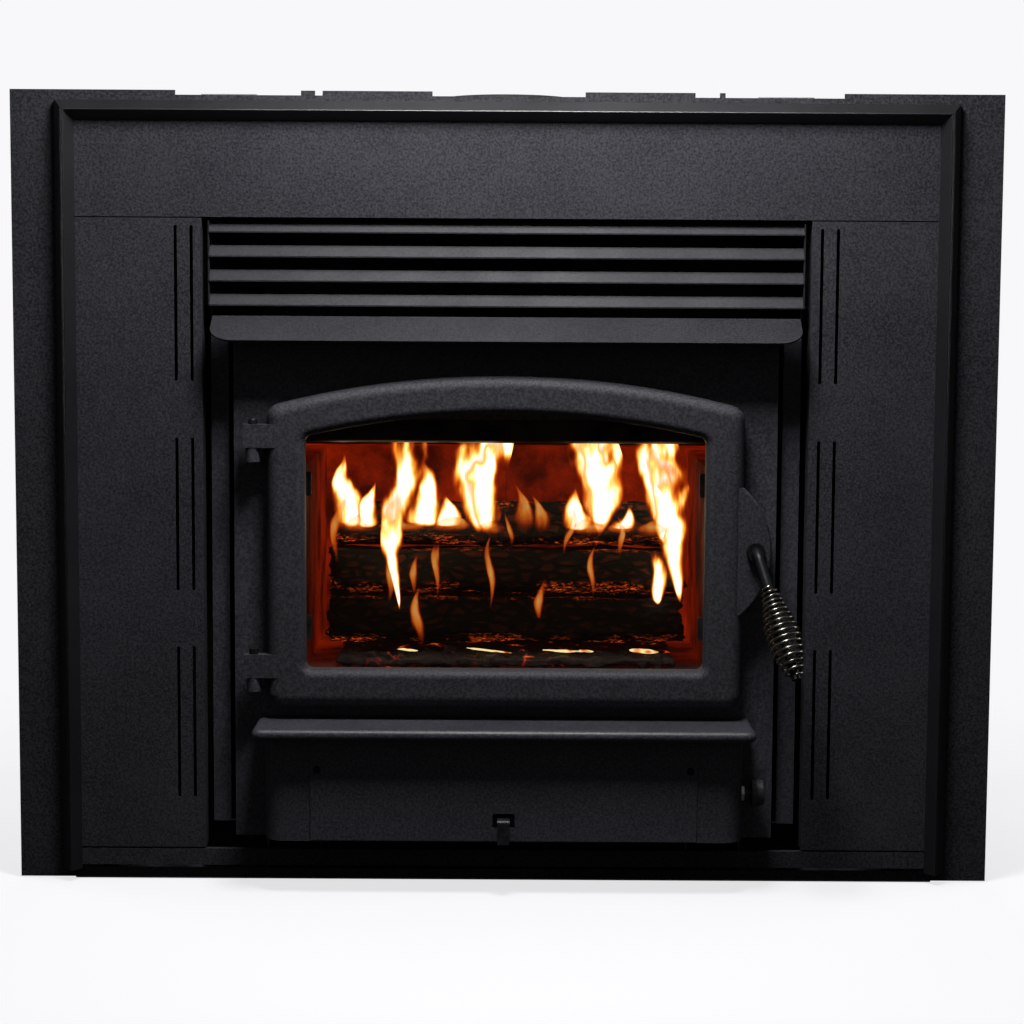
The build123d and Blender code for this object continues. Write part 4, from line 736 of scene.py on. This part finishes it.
# Flames: each is a curved sheet, drawn out above and below
flameSheets = {
    "across": 10,
    "up": 36,
    # sway to the sides and bulge forward in millimetres, and the height from which a flame sways fully
    "sway": 6.0,
    "waves": 6.0,
    "fullSway": 120,
    "depth": 7.0,
    "tipWidth": 0.03,
    "leanCurve": 1.5,
    # how steeply each kind draws in to its ends
    "draw": {"bright flame": 1.4, "thin flame": 3.0},
    # x and z of the foot, height, width, lean of the tip, widest share, set back, kind
    "tongues": (
        (-178, 372, 86, 46, -12, 0.22, 0, "bright flame"),
        (-160, 372, 54, 34, 8, 0.2, -4, "bright flame"),
        (-128, 356, 150, 58, 16, 0.55, 0, "bright flame"),
        (-122, 278, 150, 32, -10, 0.75, -16, "bright flame"),
        (-92, 372, 84, 62, 0, 0.16, 4, "bright flame"),
        (-66, 374, 40, 40, -4, 0.14, -4, "bright flame"),
        (-32, 366, 170, 66, 16, 0.5, 0, "bright flame"),
        (-24, 368, 130, 50, 12, 0.36, -8, "bright flame"),
        (108, 364, 170, 64, -12, 0.5, 2, "bright flame"),
        (108, 372, 130, 52, -6, 0.4, -8, "bright flame"),
        (82, 370, 52, 44, -4, 0.22, -6, "bright flame"),
        (134, 372, 30, 36, 10, 0.2, -6, "bright flame"),
        (202, 286, 180, 40, -26, 0.62, -8, "bright flame"),
        (180, 366, 140, 62, -4, 0.5, 6, "bright flame"),
        (186, 352, 120, 40, -14, 0.5, -2, "bright flame"),
        (176, 286, 70, 24, -4, 0.45, -16, "bright flame"),
        (-168, 366, 26, 78, 0, 0.3, -8, "thin flame"),
        (-118, 367, 20, 70, 0, 0.3, -8, "thin flame"),
        (-66, 368, 24, 74, 0, 0.3, -8, "thin flame"),
        (-14, 366, 20, 64, 0, 0.3, -10, "thin flame"),
        (92, 366, 22, 76, 0, 0.3, -10, "thin flame"),
        (132, 367, 18, 60, 0, 0.3, -10, "thin flame"),
        (172, 364, 24, 60, 0, 0.3, -10, "thin flame"),
        (-194, 326, 100, 16, 6, 0.5, -8, "thin flame"),
        (-134, 284, 66, 14, 6, 0.5, -14, "thin flame"),
        (-106, 292, 56, 12, 4, 0.5, -14, "thin flame"),
        (-96, 236, 78, 18, -8, 0.4, -16, "thin flame"),
        (-80, 286, 84, 13, 4, 0.6, -14, "thin flame"),
        (-18, 272, 96, 13, 5, 0.6, -14, "thin flame"),
        (8, 350, 46, 12, -6, 0.5, -12, "thin flame"),
        (24, 366, 62, 34, -14, 0.3, 0, "thin flame"),
        (42, 366, 52, 30, -14, 0.3, -6, "thin flame"),
        (40, 258, 66, 14, 4, 0.5, -14, "thin flame"),
        (68, 340, 60, 16, 10, 0.6, -12, "thin flame"),
        (100, 292, 66, 12, 3, 0.5, -14, "thin flame"),
        (132, 338, 54, 13, -3, 0.5, -12, "thin flame"),
    ),
}


def flameTongue(name, kind, x, z, height, width, lean, widest, back):
    clearSelection()
    bpy.ops.mesh.primitive_grid_add(
        x_subdivisions=flameSheets["across"], y_subdivisions=flameSheets["up"], size=1
    )
    flame = named(name)
    flameY = firstY + back * mm
    draw = flameSheets["draw"][kind]
    peak = widest ** (draw * widest) * (1 - widest) ** (draw * (1 - widest))
    sideways = flameSheets["sway"] * min(1.0, height / flameSheets["fullSway"])
    for vertex in flame.data.vertices:
        across, up = vertex.co.x, vertex.co.y + 0.5
        swell = up ** (draw * widest) * (1 - up) ** (draw * (1 - widest)) / peak + flameSheets["tipWidth"]
        sway = math.sin(up * flameSheets["waves"] + x * 0.7) * sideways * (0.3 + up)
        leaning = lean * up ** flameSheets["leanCurve"]
        bulge = math.cos(across * math.pi) * flameSheets["depth"] * swell
        behind = math.sin(up * 3 + x) * 4
        shift = x + across * width * swell + (sway + leaning)
        vertex.co = (shift * mm, flameY + (behind - bulge) * mm, (z + up * height) * mm)
    smoothByAngle(flame, 80)
    return flame


for index, tongue in enumerate(flameSheets["tongues"]):
    flame = flameTongue(f"flame_{index + 1}", tongue[-1], *tongue[:-1])
    dress(flame, "root", "ember", finish=extraFinishes[tongue[-1]])
print("flames")


# Floor, backdrop, lights and camera
studio = {
    "floor": "#8e8e92",
    "distance": "#f8f7f9",
    "unseen": "#303030",
    "fill": 0.06,
    "key": 14.5,
    "keySize": 0.3,
    "keyPlace": (0.02, -0.43, 1.4),
    "over": 1.6,
    "overSize": 0.5,
    "overPlace": (0.0, -0.2, 1.62),
    "overAim": (0.0, -0.12, 0.0),
    # lamps behind the face, unseen by the camera: place and watts
    "behind": (((0.0, 2.6, 1.1), 26.0), ((-2.4, 1.1, 1.1), 20.0), ((2.4, 1.1, 1.1), 20.0)),
    "behindSize": 1.2,
    "behindAim": (0.0, 0.5, 0.4),
    "aim": (0.0, 0.0, 0.6),
    "lift": 0.79,
    # the floor turns into plain backdrop between these distances from the object, in metres
    "fade": (1.0, 1.9),
}


def paleFloor():
    material = bpy.data.materials.new("pale studio floor")
    material.use_nodes = True
    tree = material.node_tree
    shader = tree.nodes["Principled BSDF"]
    shader.inputs["Base Color"].default_value = linearColour(studio["floor"])
    shader.inputs["Roughness"].default_value = 0.9
    shader.inputs["Specular IOR Level"].default_value = 0.1
    place = addNode(tree, "TexCoord").outputs["Object"]
    away = addNode(tree, "VectorMath", {"operation": "LENGTH"}, {0: place})
    far = remap(tree, away.outputs["Value"], *studio["fade"], 0.0, 1.0, True)
    seen = maths(tree, "MULTIPLY", far, addNode(tree, "LightPath").outputs["Is Camera Ray"])
    plain = addNode(tree, "Emission", {"Color": linearColour(studio["distance"]), "Strength": 1.0})
    lift = addNode(tree, "Emission", {"Color": linearColour(studio["distance"]), "Strength": studio["lift"]})
    near = addNode(tree, "AddShader", links={0: shader.outputs[0], 1: lift.outputs[0]})
    quiet = addNode(tree, "BsdfDiffuse", {"Color": linearColour(studio["unseen"])})
    camera = addNode(tree, "LightPath").outputs["Is Camera Ray"]
    looked = addNode(tree, "MixShader", links={0: camera, 1: quiet.outputs[0], 2: near.outputs[0]})
    mixed = addNode(tree, "MixShader", links={0: seen, 1: looked.outputs[0], 2: plain.outputs[0]})
    tree.links.new(mixed.outputs[0], tree.nodes["Material Output"].inputs["Surface"])
    return material


clearSelection()
bpy.ops.mesh.primitive_plane_add(size=40, location=(0, 0, 0))
floor = named("studio_floor")
floor.data.materials.append(paleFloor())


def addLamp(name, place, aim, power, size):
    data = bpy.data.lights.new(name, "AREA")
    data.energy, data.size = power, size
    lamp = bpy.data.objects.new(name, data)
    lamp.location = place
    lamp.rotation_euler = (Vector(aim) - Vector(place)).to_track_quat("-Z", "Y").to_euler()
    bpy.context.scene.collection.objects.link(lamp)
    return lamp


addLamp("key_lamp", studio["keyPlace"], studio["aim"], studio["key"], studio["keySize"])
addLamp("overhead_lamp", studio["overPlace"], studio["overAim"], studio["over"], studio["overSize"])
for index, (lampPlace, watts) in enumerate(studio["behind"]):
    lamp = addLamp(f"behind_lamp_{index + 1}", lampPlace, studio["behindAim"], watts, studio["behindSize"])
    lamp.visible_camera = False

world = bpy.data.worlds.new("studio")
world.use_nodes = True
bpy.context.scene.world = world
sky = world.node_tree
for node in list(sky.nodes):
    sky.nodes.remove(node)
rays = addNode(sky, "LightPath")
soft = addNode(sky, "Background", {"Color": (1, 1, 1, 1), "Strength": studio["fill"]})
white = addNode(sky, "Background", {"Color": linearColour(studio["distance"]), "Strength": 1.0})
seen = rays.outputs["Is Camera Ray"]
choice = addNode(sky, "MixShader", links={0: seen, 1: soft.outputs[0], 2: white.outputs[0]})
addNode(sky, "OutputWorld", links={"Surface": choice.outputs[0]})

view = {
    "place": (0.004, -2.5095, 0.657),
    "pitch": math.radians(5.7),
    "roll": math.radians(0.34),
    "turn": math.radians(0.074),
    "lens": 81.78,
    "sensor": 36.0,
}
forward = Vector((0, math.cos(view["pitch"]), -math.sin(view["pitch"])))
level = Vector((1, 0, 0))
forward.rotate(Matrix.Rotation(-view["turn"], 3, "Z"))
level.rotate(Matrix.Rotation(-view["turn"], 3, "Z"))
upward = level.cross(forward)
right = level * math.cos(view["roll"]) + upward * math.sin(view["roll"])
top = upward * math.cos(view["roll"]) - level * math.sin(view["roll"])
cameraData = bpy.data.cameras.new("photo_camera")
cameraData.lens, cameraData.sensor_width = view["lens"], view["sensor"]
camera = bpy.data.objects.new("photo_camera", cameraData)
camera.matrix_world = Matrix.Translation(view["place"]) @ Matrix((right, top, -forward)).transposed().to_4x4()
bpy.context.scene.collection.objects.link(camera)
bpy.context.scene.camera = camera
bpy.context.scene.view_settings.view_transform = "Standard"
print("studio")
